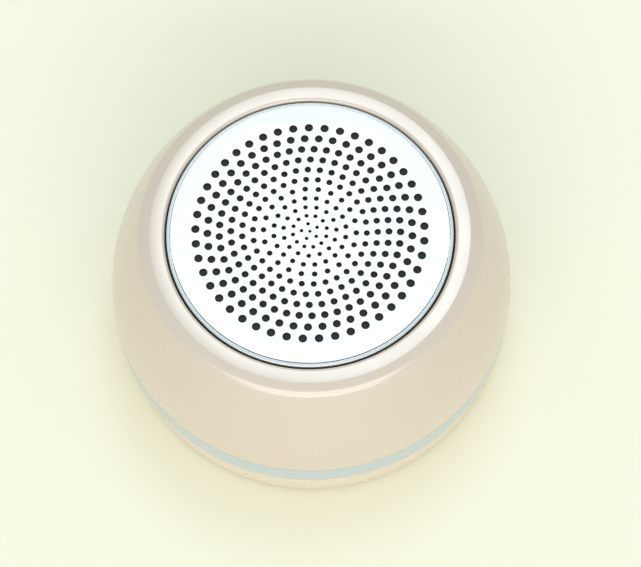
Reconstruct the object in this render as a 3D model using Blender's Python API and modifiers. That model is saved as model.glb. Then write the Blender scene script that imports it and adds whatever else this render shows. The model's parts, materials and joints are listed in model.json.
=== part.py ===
"""Round smart speaker: a squat body with a perforated disc on top and a light band low down.

Every size below is in millimetres and becomes metres when a piece is made. The speaker stands on
z = 0 and its axis is Z. Its front faces -Y, and its keys and its power socket are at the back, +Y.
"""

import math

import bmesh
import bpy
from mathutils import Matrix, Vector

MM = 0.001

# ---- driving dimensions, in millimetres ----
BODY_RADIUS = 50.0
TOP_Z = 54.0
WALL = 2.0
GAP = 0.3

# the lip that frames the disc, and the side of the body below it
LIP_INNER_R = 34.85
LIP_ROUND = 0.8
CREASE_R = 38.5
CREASE_Z = TOP_Z - 0.15
BEVEL_DEGREES = 20.0
BEVEL_END = (40.0, TOP_Z - 0.68)
BEND_R = 3.0
SIDE_DEGREES = 62.0
LIP_UNDER_Z = TOP_Z - 2.6
SIDE_CONTROL = (49.6, 36.8)
SHELL_BOTTOM_Z = 22.2

# light band and base
BAND_TOP_Z = SHELL_BOTTOM_Z - GAP
BAND_BOTTOM_Z = 14.8
BASE_TOP_Z = BAND_BOTTOM_Z - GAP
BASE_TOP_R = BODY_RADIUS - 0.1
BASE_CONTROL = (49.1, 8.0)
BASE_LOW = (48.0, 1.1)
BASE_UNDER_Z = 0.6
BASE_EDGE_R = 47.2
BASE_FLOOR_Z = 3.0
BAND_TOP_R = BODY_RADIUS - 0.3
TONGUE_OUTER_R = BODY_RADIUS - 2.6
TONGUE_INNER_R = TONGUE_OUTER_R - 1.6
TONGUE_REACH = 1.8
FOOT_INNER_R = 36.0
FOOT_OUTER_R = 43.0
FOOT_THICK = 1.5
FOOT_GROOVE = 1.2

# perforated disc: hole rings counted from the centre outwards
DISC_R = 33.45
DISC_THICK = 0.5
HOLES_IN_RING = [1, 5, 12, 15, 20, 22, 30, 35, 40, 45, 45, 45]
HOLE_MIDDLE_D = 0.86
HOLE_GROWTH = 0.117
SMALL_RINGS = 6
SMALL_HOLE_SIDES = 4
HOLE_SIDES = 5
TRIM_INNER_R = 33.65
TRIM_OUTER_R = 34.45
LEDGE_INNER_R = 32.2
LEDGE_Z = TOP_Z - 1.4
CARRIER_LOW_Z = 49.7

# screws: radius of each circle, the first screw's angle in degrees, and the holes they go through
CASE_SCREW_R = 39.0
CASE_SCREW_ANGLE = 45.0
DRIVER_SCREW_R = 32.0
BOARD_SCREW_R = 32.0
BOARD_SCREW_ANGLE = 30.0
CLEARANCE_R = 1.3
PILOT_R = 1.1
SHANK_R = 0.8
SHELL_POST_LOW_Z = 30.0
BASE_POST_HIGH_Z = 29.6
WELL_TOP_Z = 26.0

# loudspeaker
BAFFLE_LOW_Z = 44.7
BAFFLE_HIGH_Z = 46.3
FLANGE_R = 34.4
FLANGE_LOW_Z = 46.6
FLANGE_HIGH_Z = 47.6
CONE_RIM_Z = 46.4
SURROUND_RIM_Z = 48.3
SPIDER_NECK_Z = 36.4
SPIDER_RIM_Z = 38.2
COIL_R = 9.7
POLE_R = COIL_R - 0.4
POLE_TOP_Z = 31.5
POLE_VENT_R = 2.0
PLATE_R = 20.0
MAGNET_R = 22.0
YOKE_BOTTOM_Z = 17.2
YOKE_THICK = 3.0

# circuit board and what stands on it, and the socket, whose own Z axis runs in from the back
BOARD_R = 35.2
BOARD_BOTTOM_Z = 7.0
BOARD_TOP_Z = 8.6
BOARD_TAB_WIDTH = 18.0
CAPACITOR_R = 3.15
CAPACITOR_TALL = 5.4
PLUG_TOP_Z = 13.0
WEIGHT_R = 29.0
WEIGHT_THICK = 2.0
SOCKET_Z = 10.55
SOCKET_WIDTH = 8.94
SOCKET_HEIGHT = 3.26
SOCKET_WALL = 0.3
SOCKET_MOUTH = -48.5
SOCKET_BACK = -41.0
SLOT_WIDTH = 9.9
SLOT_HEIGHT = 4.1

# keys at the back
KEY_Z = 33.0
KEY_R = 3.2
KEY_PROUD = 0.4
KEY_TRAVEL = 0.5
KEY_STEP_DEGREES = 10.6
KEY_FLANGE_R = KEY_R + 0.7
KEY_FLANGE_TOP = -2.5
KEY_FLANGE_LOW = -3.5
KEY_STEM_R = 1.2
KEY_STEM_LOW = -5.0
KEY_NAMES = ("volume_up_key", "volume_down_key", "mute_key", "power_key")
BUTTON_BOARD_R = 39.9

# ribbon and wire
RIBBON_THICK = 0.3
WIRE_R = 0.55

# facets round a turned piece, and round a small hole
OUTER_STEPS = 40
LIGHT_STEPS = 36
RING_STEPS = 32
INNER_STEPS = 20
SCREW_STEPS = 6
HOLE_SEGMENTS = 8

MERGE = 0.00001


def start_clean():
    """Remove whatever the file already shows."""
    for thing in list(bpy.data.objects):
        bpy.data.objects.remove(thing, do_unlink=True)


def make_collection(name):
    """A collection linked to the scene."""
    group = bpy.data.collections.new(name)
    bpy.context.scene.collection.children.link(group)
    return group


def make_material(name, colour, roughness, metallic=0.0):
    """A plain Principled material."""
    finish = bpy.data.materials.new(name)
    finish.use_nodes = True
    shader = finish.node_tree.nodes["Principled BSDF"]
    shader.inputs["Base Color"].default_value = (*colour, 1.0)
    shader.inputs["Roughness"].default_value = roughness
    shader.inputs["Metallic"].default_value = metallic
    finish.diffuse_color = (*colour, 1.0)
    return finish


def add_piece(name, data, finish):
    """Put one sub-part into the speaker's collection."""
    piece = bpy.data.objects.new(name, data)
    SPEAKER.objects.link(piece)
    data.materials.append(finish)
    return piece


def add_tool(name, mesh):
    """Put a cutter, or a shape that is joined on, into the tools' collection."""
    tool = bpy.data.objects.new(name, mesh)
    TOOLS.objects.link(tool)
    tool.hide_render = True
    tool.display_type = "WIRE"
    return tool


def combine(piece, tool, operation):
    """Cut a tool out of a piece, or join it on."""
    modifier = piece.modifiers.new(operation.title(), "BOOLEAN")
    modifier.operation = operation
    modifier.solver = "EXACT"
    modifier.object = tool


# ---- basic shapes ----
def polar(radius, degrees, z=0.0):
    """A point on a circle round the axis."""
    angle = math.radians(degrees)
    return Vector((radius * math.cos(angle), radius * math.sin(angle), z))


def ring_angles(count, start=0.0):
    """Equal steps round the axis, in degrees."""
    return [start + 360.0 * number / count for number in range(count)]


def arc(centre, radius, start, end, steps):
    """Points along an arc in the (radius, z) plane, angles in degrees."""
    points = []
    for number in range(steps + 1):
        angle = math.radians(start + (end - start) * number / steps)
        points.append((centre[0] + radius * math.cos(angle), centre[1] + radius * math.sin(angle)))
    return points


def curve_point(start, control, end, share, inward=0.0):
    """A point on a quadratic curve, moved inward from it at right angles."""
    rest = 1.0 - share
    point = [rest * rest * start[k] + 2 * rest * share * control[k] + share * share * end[k] for k in (0, 1)]
    slope = [rest * (control[k] - start[k]) + share * (end[k] - control[k]) for k in (0, 1)]
    length = math.hypot(slope[0], slope[1])
    return (point[0] + inward * slope[1] / length, point[1] - inward * slope[0] / length)


def bend_points(steps):
    """The soft bend between the lip's bevel and the body's side."""
    bevel = math.radians(BEVEL_DEGREES)
    centre = (BEVEL_END[0] - BEND_R * math.sin(bevel), BEVEL_END[1] - BEND_R * math.cos(bevel))
    return arc(centre, BEND_R, 90.0 - BEVEL_DEGREES, 90.0 - SIDE_DEGREES, steps)


def side_point(share, inward=0.0):
    """A point on the body's side: share 0 is at the bend, share 1 is above the light band."""
    start = bend_points(1)[-1]
    return curve_point(start, SIDE_CONTROL, (BODY_RADIUS, SHELL_BOTTOM_Z), share, inward)


def base_point(share, inward=0.0):
    """A point on the base's side: share 0 is below the light band, share 1 is low down."""
    return curve_point((BASE_TOP_R, BASE_TOP_Z), BASE_CONTROL, BASE_LOW, share, inward)


def turned(name, profile, finish, steps=INNER_STEPS):
    """A turned piece: its profile runs outwards over the top and down its outer side."""
    mesh = bpy.data.meshes.new(name)
    points = [(radius * MM, 0.0, z * MM) for radius, z in profile]
    edges = [(number, number + 1) for number in range(len(points) - 1)]
    if profile[0][0] > 0.0:
        edges.append((len(points) - 1, 0))
    mesh.from_pydata(points, edges, [])
    piece = add_piece(name, mesh, finish)
    screw = piece.modifiers.new("Turn", "SCREW")
    screw.steps = steps
    screw.render_steps = steps
    screw.use_merge_vertices = True
    screw.merge_threshold = MERGE
    return piece


def washer(name, inner, outer, low, high, finish, steps=INNER_STEPS):
    """A flat ring."""
    return turned(name, [(inner, high), (outer, high), (outer, low), (inner, low)], finish, steps)


def band(path, thick):
    """A closed profile: a line of (radius, z) points given a thickness downwards."""
    return path + [(radius, z - thick) for radius, z in reversed(path)]


def rod_shape(mesh_tool, radius, low, high, sides, place):
    """Add a cylinder along its own Z axis to a bmesh."""
    lift = Matrix.Translation((0.0, 0.0, (low + high) / 2 * MM))
    bmesh.ops.create_cone(
        mesh_tool,
        cap_ends=True,
        segments=sides,
        radius1=radius * MM,
        radius2=radius * MM,
        depth=(high - low) * MM,
        matrix=place @ lift,
    )


def box_shape(mesh_tool, low, high, place):
    """Add a box between two corners to a bmesh."""
    middle = [(low[k] + high[k]) / 2 * MM for k in range(3)]
    size = [(high[k] - low[k]) * MM for k in range(3)]
    stretch = Matrix.Diagonal((*size, 1.0))
    bmesh.ops.create_cube(mesh_tool, size=1.0, matrix=place @ Matrix.Translation(middle) @ stretch)


def finish_mesh(name, mesh_tool):
    """Turn a bmesh into a mesh with crisp edges."""
    mesh = bpy.data.meshes.new(name)
    mesh_tool.to_mesh(mesh)
    mesh_tool.free()
    mesh.shade_smooth()
    mesh.set_sharp_from_angle(angle=math.radians(40))
    return mesh


def rods(name, radius, low, high, places, sides=12):
    """A mesh of equal cylinders, one at each place."""
    mesh_tool = bmesh.new()
    for place in places:
        rod_shape(mesh_tool, radius, low, high, sides, place)
    return finish_mesh(name, mesh_tool)


def boxes(name, low, high, places):
    """A mesh of equal boxes, one at each place."""
    mesh_tool = bmesh.new()
    for place in places:
        box_shape(mesh_tool, low, high, place)
    return finish_mesh(name, mesh_tool)


def circle_places(radius, count, start=0.0):
    """Upright places on a circle, for screws and posts."""
    return [Matrix.Translation(polar(radius, angle) * MM) for angle in ring_angles(count, start)]


def turned_places(count, start=0.0):
    """Places at the axis, turned in equal steps."""
    return [Matrix.Rotation(math.radians(angle), 4, "Z") for angle in ring_angles(count, start)]


def stadium(name, width, height, low, high, place, sides=16):
    """A flat bar with round ends: width along its X, height along its Y."""
    mesh_tool = bmesh.new()
    rod_shape(mesh_tool, height / 2, low, high, sides, Matrix.Identity(4))
    shift = (width - height) / 2 * MM
    for corner in mesh_tool.verts:
        corner.co.x += math.copysign(shift, corner.co.x)
    mesh_tool.transform(place)
    return finish_mesh(name, mesh_tool)


# ---- top: disc, cloth, trim ring, carrier ----
def hole_ring_radius(ring):
    """Rings stand a little further apart towards the edge."""
    return 1.947 * ring + 0.0589 * ring**2 - 0.00085 * ring**3


def hole_radius(ring):
    """Holes grow evenly from the centre to the edge."""
    return (HOLE_MIDDLE_D + HOLE_GROWTH * ring) / 2


def hole_ring_start(ring):
    """Each ring is turned back a little more than the last."""
    return 103.3 - 1.5 * ring - 0.045 * ring**2


def add_loop(curve, centre, radius, sides, start=0.0):
    """A closed round outline in a flat curve."""
    loop = curve.splines.new("POLY")
    loop.points.add(sides - 1)
    for point, angle in zip(loop.points, ring_angles(sides, start)):
        spot = centre + polar(radius, angle)
        point.co = (spot.x * MM, spot.y * MM, 0.0, 1.0)
    loop.use_cyclic_u = True


def make_grille_disc():
    """The white perforated disc."""
    outline = bpy.data.curves.new("grille_disc", "CURVE")
    outline.dimensions = "2D"
    outline.fill_mode = "BOTH"
    outline.extrude = DISC_THICK / 2 * MM
    add_loop(outline, Vector(), DISC_R, OUTER_STEPS)
    for ring, count in enumerate(HOLES_IN_RING):
        sides = SMALL_HOLE_SIDES if ring < SMALL_RINGS else HOLE_SIDES
        for angle in ring_angles(count, hole_ring_start(ring)):
            centre = polar(hole_ring_radius(ring), angle)
            add_loop(outline, centre, hole_radius(ring), sides, angle)
    piece = add_piece("grille_disc", outline, WHITE)
    piece.location.z = (TOP_Z - DISC_THICK / 2) * MM


def make_grille_cloth():
    """Black cloth under the disc, cut round."""
    high = TOP_Z - DISC_THICK - GAP
    low = high - GAP
    edge = DISC_R - 0.2
    profile = [(0.0, high), (edge, high), (edge, low), (0.0, low)]
    turned("grille_cloth", profile, CLOTH, OUTER_STEPS)


def make_trim_ring():
    """Polished ring round the disc, with the ledge that carries cloth and disc."""
    profile = [
        (TRIM_INNER_R, TOP_Z - 0.1),
        (TRIM_INNER_R + 0.1, TOP_Z),
        (TRIM_OUTER_R - 0.12, TOP_Z - 0.35),
        (TRIM_OUTER_R, TOP_Z - 0.8),
        (TRIM_OUTER_R, LIP_UNDER_Z),
        (LEDGE_INNER_R, LIP_UNDER_Z),
        (LEDGE_INNER_R, LEDGE_Z),
        (TRIM_INNER_R, LEDGE_Z),
    ]
    turned("trim_ring", profile, POLISHED, OUTER_STEPS)


def make_rim_gasket():
    """Dark foam ring in the groove between the trim ring and the lip."""
    clear = 0.1
    inner = TRIM_OUTER_R + clear
    outer = LIP_INNER_R - clear
    washer("rim_gasket", inner, outer, LIP_UNDER_Z, TOP_Z - 1.8, FOAM, OUTER_STEPS)


def make_grille_carrier():
    """Plastic ring under the lip, which carries the trim ring and clamps the driver's gasket."""
    washer("grille_carrier", 28.8, 36.4, CARRIER_LOW_Z, LIP_UNDER_Z - GAP, BLACK_PLASTIC, RING_STEPS)


def make_mic_boards():
    """Two microphone boards on the carrier, beside the outermost holes."""
    low = (29.0, -2.5, LIP_UNDER_Z)
    high = (LEDGE_INNER_R - 0.5, 2.5, LIP_UNDER_Z + 0.6)
    for name, angle in (("mic_board_right", 0.0), ("mic_board_left", 180.0)):
        add_piece(name, boxes(name, low, high, turned_places(1, angle)), BOARD_GREEN)


# ---- shells ----
def make_upper_shell():
    """The beige body: lip, widening side, posts for the screws, and holes for the keys."""
    profile = [(LIP_INNER_R, LIP_UNDER_Z)]
    profile += arc((LIP_INNER_R + LIP_ROUND, TOP_Z - LIP_ROUND), LIP_ROUND, 180, 90, 3)
    profile += [(CREASE_R, CREASE_Z)]
    profile += bend_points(2)
    profile += [side_point(number / 6) for number in range(1, 7)]
    profile += [side_point(number / 4, WALL) for number in range(4, 0, -1)]
    profile += [(40.2, LIP_UNDER_Z)]
    shell = turned("upper_shell", profile, BEIGE, OUTER_STEPS)
    posts = circle_places(CASE_SCREW_R, 4, CASE_SCREW_ANGLE)
    spokes = turned_places(4, CASE_SCREW_ANGLE)
    post_top = BAFFLE_LOW_Z - GAP
    post_shape = rods("shell_posts", 2.5, SHELL_POST_LOW_Z, post_top, posts)
    combine(shell, add_tool("shell_posts", post_shape), "UNION")
    ribs = boxes("shell_ribs", (40.0, -1.0, SHELL_POST_LOW_Z + 2.0), (44.4, 1.0, post_top - 0.2), spokes)
    combine(shell, add_tool("shell_ribs", ribs), "UNION")
    pilots = rods("shell_pilots", PILOT_R, SHELL_POST_LOW_Z - 1.0, BAFFLE_HIGH_Z, posts, HOLE_SEGMENTS)
    combine(shell, add_tool("shell_pilots", pilots), "DIFFERENCE")
    places = [key_place(number) for number in range(len(KEY_NAMES))]
    key_holes = rods("key_holes", KEY_R + 0.25, KEY_FLANGE_LOW, 2.0, places, 16)
    combine(shell, add_tool("key_holes", key_holes), "DIFFERENCE")


def make_light_ring():
    """Milky light band, with a tongue behind the edges of both shells."""
    low = BAND_BOTTOM_Z - TONGUE_REACH
    high = BAND_TOP_Z + TONGUE_REACH
    profile = [
        (TONGUE_OUTER_R, BAND_TOP_Z),
        (BAND_TOP_R, BAND_TOP_Z),
        (BAND_TOP_R + 0.2, BAND_BOTTOM_Z),
        (TONGUE_OUTER_R, BAND_BOTTOM_Z),
        (TONGUE_OUTER_R, low),
        (TONGUE_INNER_R, low),
        (TONGUE_INNER_R, high),
        (TONGUE_OUTER_R, high),
    ]
    turned("light_ring", profile, MILKY, OUTER_STEPS)


def make_base_shell():
    """The beige base: a shallow cup with posts, board stand-offs and the socket's slot."""
    profile = [(0.0, BASE_FLOOR_Z), (43.6, BASE_FLOOR_Z)]
    profile += [base_point(number / 3, WALL) for number in range(2, -1, -1)]
    profile += [base_point(number / 4) for number in range(5)]
    profile += [(BASE_EDGE_R, BASE_UNDER_Z)]
    groove_z = BASE_UNDER_Z + FOOT_GROOVE
    profile += [(FOOT_OUTER_R + GAP, BASE_UNDER_Z), (FOOT_OUTER_R + GAP, groove_z)]
    profile += [(FOOT_INNER_R - GAP, groove_z), (FOOT_INNER_R - GAP, BASE_UNDER_Z), (0.0, BASE_UNDER_Z)]
    shell = turned("base_shell", profile, BEIGE, OUTER_STEPS)
    posts = circle_places(CASE_SCREW_R, 4, CASE_SCREW_ANGLE)
    stand_offs = circle_places(BOARD_SCREW_R, 3, BOARD_SCREW_ANGLE)
    root_z = BASE_FLOOR_Z - 0.8
    post_shape = rods("base_posts", 3.3, root_z, BASE_POST_HIGH_Z, posts)
    combine(shell, add_tool("base_posts", post_shape), "UNION")
    stand_off_shape = rods("stand_offs", 2.0, root_z, BOARD_BOTTOM_Z - GAP, stand_offs)
    combine(shell, add_tool("stand_offs", stand_off_shape), "UNION")
    wells = rods("screw_wells", 2.3, 0.0, WELL_TOP_Z, posts)
    combine(shell, add_tool("screw_wells", wells), "DIFFERENCE")
    holes = rods("screw_holes", CLEARANCE_R, WELL_TOP_Z - 1.0, BASE_POST_HIGH_Z + 1.4, posts, HOLE_SEGMENTS)
    combine(shell, add_tool("screw_holes", holes), "DIFFERENCE")
    pilots = rods("board_pilots", PILOT_R, BASE_FLOOR_Z + 0.5, BOARD_TOP_Z, stand_offs, HOLE_SEGMENTS)
    combine(shell, add_tool("board_pilots", pilots), "DIFFERENCE")
    slot = stadium("socket_slot", SLOT_WIDTH, SLOT_HEIGHT, -BODY_RADIUS - 2.0, -44.0, socket_place())
    combine(shell, add_tool("socket_slot", slot), "DIFFERENCE")


def make_foot_ring():
    """Rubber ring that the speaker stands on. It covers the case screws."""
    washer("foot_ring", FOOT_INNER_R, FOOT_OUTER_R, 0.0, FOOT_THICK, RUBBER, OUTER_STEPS)


# ---- keys at the back ----
def key_place(number):
    """Where a key sits: on the body's side, its own Z axis pointing out at right angles to it."""
    share = 0.5
    for _ in range(30):
        share += (side_point(share)[1] - KEY_Z) / 40.0
    radius, z = side_point(share)
    inner_radius, inner_z = side_point(share, 1.0)
    tilt = math.atan2(z - inner_z, radius - inner_radius)
    angle = 90.0 + (number - 1.5) * KEY_STEP_DEGREES
    turn = Matrix.Rotation(math.radians(angle), 4, "Z")
    lean = Matrix.Rotation(math.pi / 2 - tilt, 4, "Y")
    return turn @ Matrix.Translation((radius * MM, 0.0, z * MM)) @ lean


def make_keys():
    """Four round keys, each with a flange behind the wall and a stem to its switch."""
    profile = [
        (0.0, KEY_PROUD),
        (KEY_R - 0.4, KEY_PROUD),
        (KEY_R, KEY_PROUD - 0.3),
        (KEY_R, KEY_FLANGE_TOP),
        (KEY_FLANGE_R, KEY_FLANGE_TOP),
        (KEY_FLANGE_R, KEY_FLANGE_LOW),
        (KEY_STEM_R, KEY_FLANGE_LOW),
        (KEY_STEM_R, KEY_STEM_LOW),
        (0.0, KEY_STEM_LOW),
    ]
    for number, name in enumerate(KEY_NAMES):
        key = turned(name, profile, KEY_BEIGE, 12)
        key.matrix_world = key_place(number)


def make_button_board():
    """A bent circuit strip behind the keys, with a switch under each stem."""
    low, high = 27.3, 35.3
    strip = washer("button_board", BUTTON_BOARD_R, BUTTON_BOARD_R + 1.0, low, high, BOARD_GREEN, 48)
    reach = 16.0
    sector = boxes("board_sector", (-reach, 30.0, low - 1.3), (reach, 45.0, high + 1.7), [Matrix.Identity(4)])
    combine(strip, add_tool("board_sector", sector), "INTERSECT")
    switch_top = KEY_STEM_LOW - KEY_TRAVEL - 0.2
    places = [key_place(number) for number in range(len(KEY_NAMES))]
    switches = rods("key_switches", 1.7, switch_top - 2.6, switch_top, places, HOLE_SEGMENTS)
    combine(strip, add_tool("key_switches", switches), "UNION")


def make_button_flex():
    """Flat ribbon from the button board down to the main board."""
    top = Vector((38.6, 27.0))
    bend = Vector((39.0, 15.5))
    end = Vector((33.0, BOARD_TOP_Z + 0.4))
    steps = 6
    path = []
    for number in range(steps + 1):
        share = number / steps
        path.append((1 - share) ** 2 * top + 2 * share * (1 - share) * bend + share**2 * end)
    mesh = bpy.data.meshes.new("button_flex")
    points = [(x * MM, y * MM, z * MM) for y, z in path for x in (-12.0, -7.0)]
    faces = [(2 * k, 2 * k + 1, 2 * k + 3, 2 * k + 2) for k in range(len(path) - 1)]
    mesh.from_pydata(points, [], faces)
    ribbon = add_piece("button_flex", mesh, FLEX_BROWN)
    solid = ribbon.modifiers.new("Thickness", "SOLIDIFY")
    solid.thickness = RIBBON_THICK * MM
    solid.offset = 0.0


# ---- loudspeaker ----
def make_driver_baffle():
    """The plate inside the body that the driver is screwed to."""
    plate = washer("driver_baffle", 28.9, 41.3, BAFFLE_LOW_Z, BAFFLE_HIGH_Z, BLACK_PLASTIC, RING_STEPS)
    span = (BAFFLE_LOW_Z - 0.7, BAFFLE_HIGH_Z + 0.7)
    case = circle_places(CASE_SCREW_R, 4, CASE_SCREW_ANGLE)
    driver = circle_places(DRIVER_SCREW_R, 4)
    holes = rods("baffle_holes", CLEARANCE_R, *span, case, HOLE_SEGMENTS)
    combine(plate, add_tool("baffle_holes", holes), "DIFFERENCE")
    pilots = rods("baffle_pilots", PILOT_R + 0.1, *span, driver, HOLE_SEGMENTS)
    combine(plate, add_tool("baffle_pilots", pilots), "DIFFERENCE")


def make_driver_basket():
    """Pressed steel frame: flange, windowed wall, spider shelf and bottom ring."""
    profile = [
        (27.0, FLANGE_HIGH_Z),
        (FLANGE_R, FLANGE_HIGH_Z),
        (FLANGE_R, FLANGE_LOW_Z),
        (28.2, FLANGE_LOW_Z),
        (24.6, 36.6),
        (21.8, 36.6),
        (20.9, 31.8),
        (12.4, 31.8),
        (12.4, 33.0),
        (19.8, 33.0),
        (20.6, 37.6),
        (23.6, 37.6),
        (27.0, FLANGE_HIGH_Z - 0.6),
    ]
    basket = turned("driver_basket", profile, STEEL_DARK)
    windows = boxes("basket_windows", (0.0, -6.5, 38.6), (32.0, 6.5, 45.4), turned_places(6, 30.0))
    combine(basket, add_tool("basket_windows", windows), "DIFFERENCE")
    places = circle_places(DRIVER_SCREW_R, 4)
    holes = rods("flange_holes", CLEARANCE_R, FLANGE_LOW_Z - 0.6, FLANGE_HIGH_Z + 0.4, places, HOLE_SEGMENTS)
    combine(basket, add_tool("flange_holes", holes), "DIFFERENCE")


def make_driver_gasket():
    """Foam ring between the driver's flange and the carrier."""
    washer("driver_gasket", 27.6, 29.4, SURROUND_RIM_Z + GAP, CARRIER_LOW_Z - GAP, FOAM)


def make_motor():
    """The fixed half of the motor: top plate, magnet, and the yoke with its vented pole."""
    plate_z = POLE_TOP_Z - 2.7
    yoke_top = YOKE_BOTTOM_Z + YOKE_THICK
    washer("top_plate", COIL_R + 1.1, PLATE_R, plate_z, POLE_TOP_Z, STEEL)
    washer("magnet", 13.0, MAGNET_R, yoke_top + GAP, plate_z - GAP, FERRITE)
    profile = [
        (POLE_VENT_R, POLE_TOP_Z),
        (POLE_R, POLE_TOP_Z),
        (POLE_R, yoke_top),
        (PLATE_R, yoke_top),
        (PLATE_R, YOKE_BOTTOM_Z),
        (POLE_VENT_R, YOKE_BOTTOM_Z),
    ]
    turned("yoke", profile, STEEL)


def make_cone_assembly():
    """What moves: voice coil, cone and dust cap, all on one carriage at the driver's axis."""
    former_top, winding_top, winding_low = 40.3, 33.0, 26.6
    neck = COIL_R + 0.7
    coil = [
        (COIL_R, former_top),
        (COIL_R + 0.4, former_top),
        (COIL_R + 0.4, winding_top),
        (neck, winding_top),
        (neck, winding_low),
        (COIL_R, winding_low),
    ]
    flare = [(neck, 39.1), (neck + 3.4, 41.2), (neck + 7.0, 43.9), (20.9, CONE_RIM_Z), (22.2, CONE_RIM_Z)]
    dome = [(11.8 * k / 3, 43.6 - 2.7 * (k / 3) ** 2) for k in range(4)]
    pieces = [
        turned("voice_coil", coil, COPPER),
        turned("cone", band(flare, 0.5), PAPER),
        turned("dust_cap", band(dome, 0.5), PAPER),
    ]
    carriage = bpy.data.objects.new("cone_carriage", None)
    SPEAKER.objects.link(carriage)
    for piece in pieces:
        piece.parent = carriage


def make_suspension():
    """Rubber surround and corrugated cloth spider, which bend as the cone moves."""
    inner_z = CONE_RIM_Z + 0.7
    rise = SURROUND_RIM_Z - inner_z
    roll = []
    for number in range(1, 5):
        share = number / 5
        lift = 2.0 * math.sin(math.pi * share)
        roll.append((22.4 + 4.8 * share, inner_z + rise * share + lift))
    path = [(21.0, inner_z), (22.4, inner_z)] + roll + [(27.4, SURROUND_RIM_Z), (29.3, SURROUND_RIM_Z)]
    turned("surround", band(path, 0.4), RUBBER)
    waves = 6
    rise = SPIDER_RIM_Z - SPIDER_NECK_Z
    path = [(COIL_R + 0.8, SPIDER_NECK_Z)]
    for number in range(1, waves):
        share = number / waves
        wave = 0.45 * (-1) ** number
        path.append((11.2 + 9.6 * share, SPIDER_NECK_Z + rise * share + wave))
    path += [(20.9, SPIDER_RIM_Z), (23.0, SPIDER_RIM_Z)]
    turned("spider", band(path, 0.3), SPIDER_CLOTH)


def make_terminal():
    """Solder tag board on the basket, and the plug on the main board below it."""
    here = [Matrix.Identity(4)]
    tag = boxes("terminal_tag", (26.9, -4.0, 37.2), (28.1, 4.0, 42.2), here)
    add_piece("terminal_tag", tag, TAG_BROWN)
    plug = boxes("speaker_plug", (25.0, -3.5, BOARD_TOP_Z + GAP), (30.0, 3.5, PLUG_TOP_Z), here)
    add_piece("speaker_plug", plug, PLUG_WHITE)


def make_speaker_lead(name, y, finish):
    """One insulated wire from the tag board down to the plug, on a smooth curve."""
    start = Vector((28.95, y, 39.6))
    bend = Vector((34.0, y * 0.9, 26.0))
    end = Vector((27.5, y * 0.7, PLUG_TOP_Z + 0.4))
    wire = bpy.data.curves.new(name, "CURVE")
    wire.dimensions = "3D"
    wire.bevel_depth = WIRE_R * MM
    wire.bevel_resolution = 2
    wire.use_fill_caps = True
    line = wire.splines.new("POLY")
    steps = 10
    line.points.add(steps)
    for number in range(steps + 1):
        share = number / steps
        rest = 1.0 - share
        spot = rest * rest * start + 2 * rest * share * bend + share * share * end
        line.points[number].co = (*(spot * MM), 1.0)
    add_piece(name, wire, finish)


# ---- electronics ----
def socket_place():
    """The socket's own frame: its Z axis runs in from the back, its X axis across the speaker."""
    lift = Matrix.Translation((0.0, 0.0, SOCKET_Z * MM))
    return lift @ Matrix.Rotation(math.pi / 2, 4, "X")


def make_main_board():
    """Round circuit board with a tab at the back for the socket."""
    profile = [(0.0, BOARD_TOP_Z), (BOARD_R, BOARD_TOP_Z), (BOARD_R, BOARD_BOTTOM_Z), (0.0, BOARD_BOTTOM_Z)]
    board = turned("main_board", profile, BOARD_GREEN, 24)
    low = (-BOARD_TAB_WIDTH / 2, 25.0, BOARD_BOTTOM_Z)
    high = (BOARD_TAB_WIDTH / 2, 45.4, BOARD_TOP_Z)
    tab = boxes("board_tab", low, high, [Matrix.Identity(4)])
    combine(board, add_tool("board_tab", tab), "UNION")
    places = circle_places(BOARD_SCREW_R, 3, BOARD_SCREW_ANGLE)
    holes = rods("board_holes", PILOT_R + 0.1, BOARD_BOTTOM_Z - 1.0, BOARD_TOP_Z + 1.4, places, HOLE_SEGMENTS)
    combine(board, add_tool("board_holes", holes), "DIFFERENCE")


def make_board_parts():
    """Shielding can and two electrolytic capacitors on the main board."""
    low = BOARD_TOP_Z + GAP
    can = boxes("processor_shield", (-20.0, -16.0, low), (-4.0, 2.0, low + 2.4), [Matrix.Identity(4)])
    add_piece("processor_shield", can, TINNED)
    for number, angle in enumerate((58.0, 35.0)):
        name = f"capacitor_{number + 1}"
        place = Matrix.Translation(polar(17.0, angle) * MM)
        add_piece(name, rods(name, CAPACITOR_R, low, low + CAPACITOR_TALL, [place]), ALUMINIUM)


def make_usb_socket():
    """Power socket: a flat metal tube with round ends, closed inside, and a tongue in it."""
    place = socket_place()
    tube = stadium("usb_socket", SOCKET_WIDTH, SOCKET_HEIGHT, SOCKET_MOUTH, SOCKET_BACK, place)
    shell = add_piece("usb_socket", tube, TINNED)
    width = SOCKET_WIDTH - 2 * SOCKET_WALL
    height = SOCKET_HEIGHT - 2 * SOCKET_WALL
    mouth = stadium("socket_mouth", width, height, SOCKET_MOUTH - 1.2, SOCKET_BACK - 1.4, place)
    combine(shell, add_tool("socket_mouth", mouth), "DIFFERENCE")
    low = (-3.35, -0.35, SOCKET_MOUTH + 1.2)
    high = (3.35, 0.35, SOCKET_BACK - 1.0)
    tongue = boxes("socket_tongue", low, high, [place])
    combine(shell, add_tool("socket_tongue", tongue), "UNION")


def make_led_parts():
    """White carrier ring, and the strip round it with a lamp at every step."""
    strip_r = 43.8
    washer("led_carrier", strip_r - 1.2, strip_r - GAP, 13.6, 24.0, PLUG_WHITE, LIGHT_STEPS)
    strip = washer("led_strip", strip_r, strip_r + 0.3, 16.0, 21.6, BOARD_GREEN, LIGHT_STEPS)
    low = (strip_r, -1.5, 17.8)
    high = (strip_r + 1.1, 1.5, 19.8)
    lamps = boxes("strip_lamps", low, high, turned_places(LIGHT_STEPS // 3, 5.0))
    combine(strip, add_tool("strip_lamps", lamps), "UNION")


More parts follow.
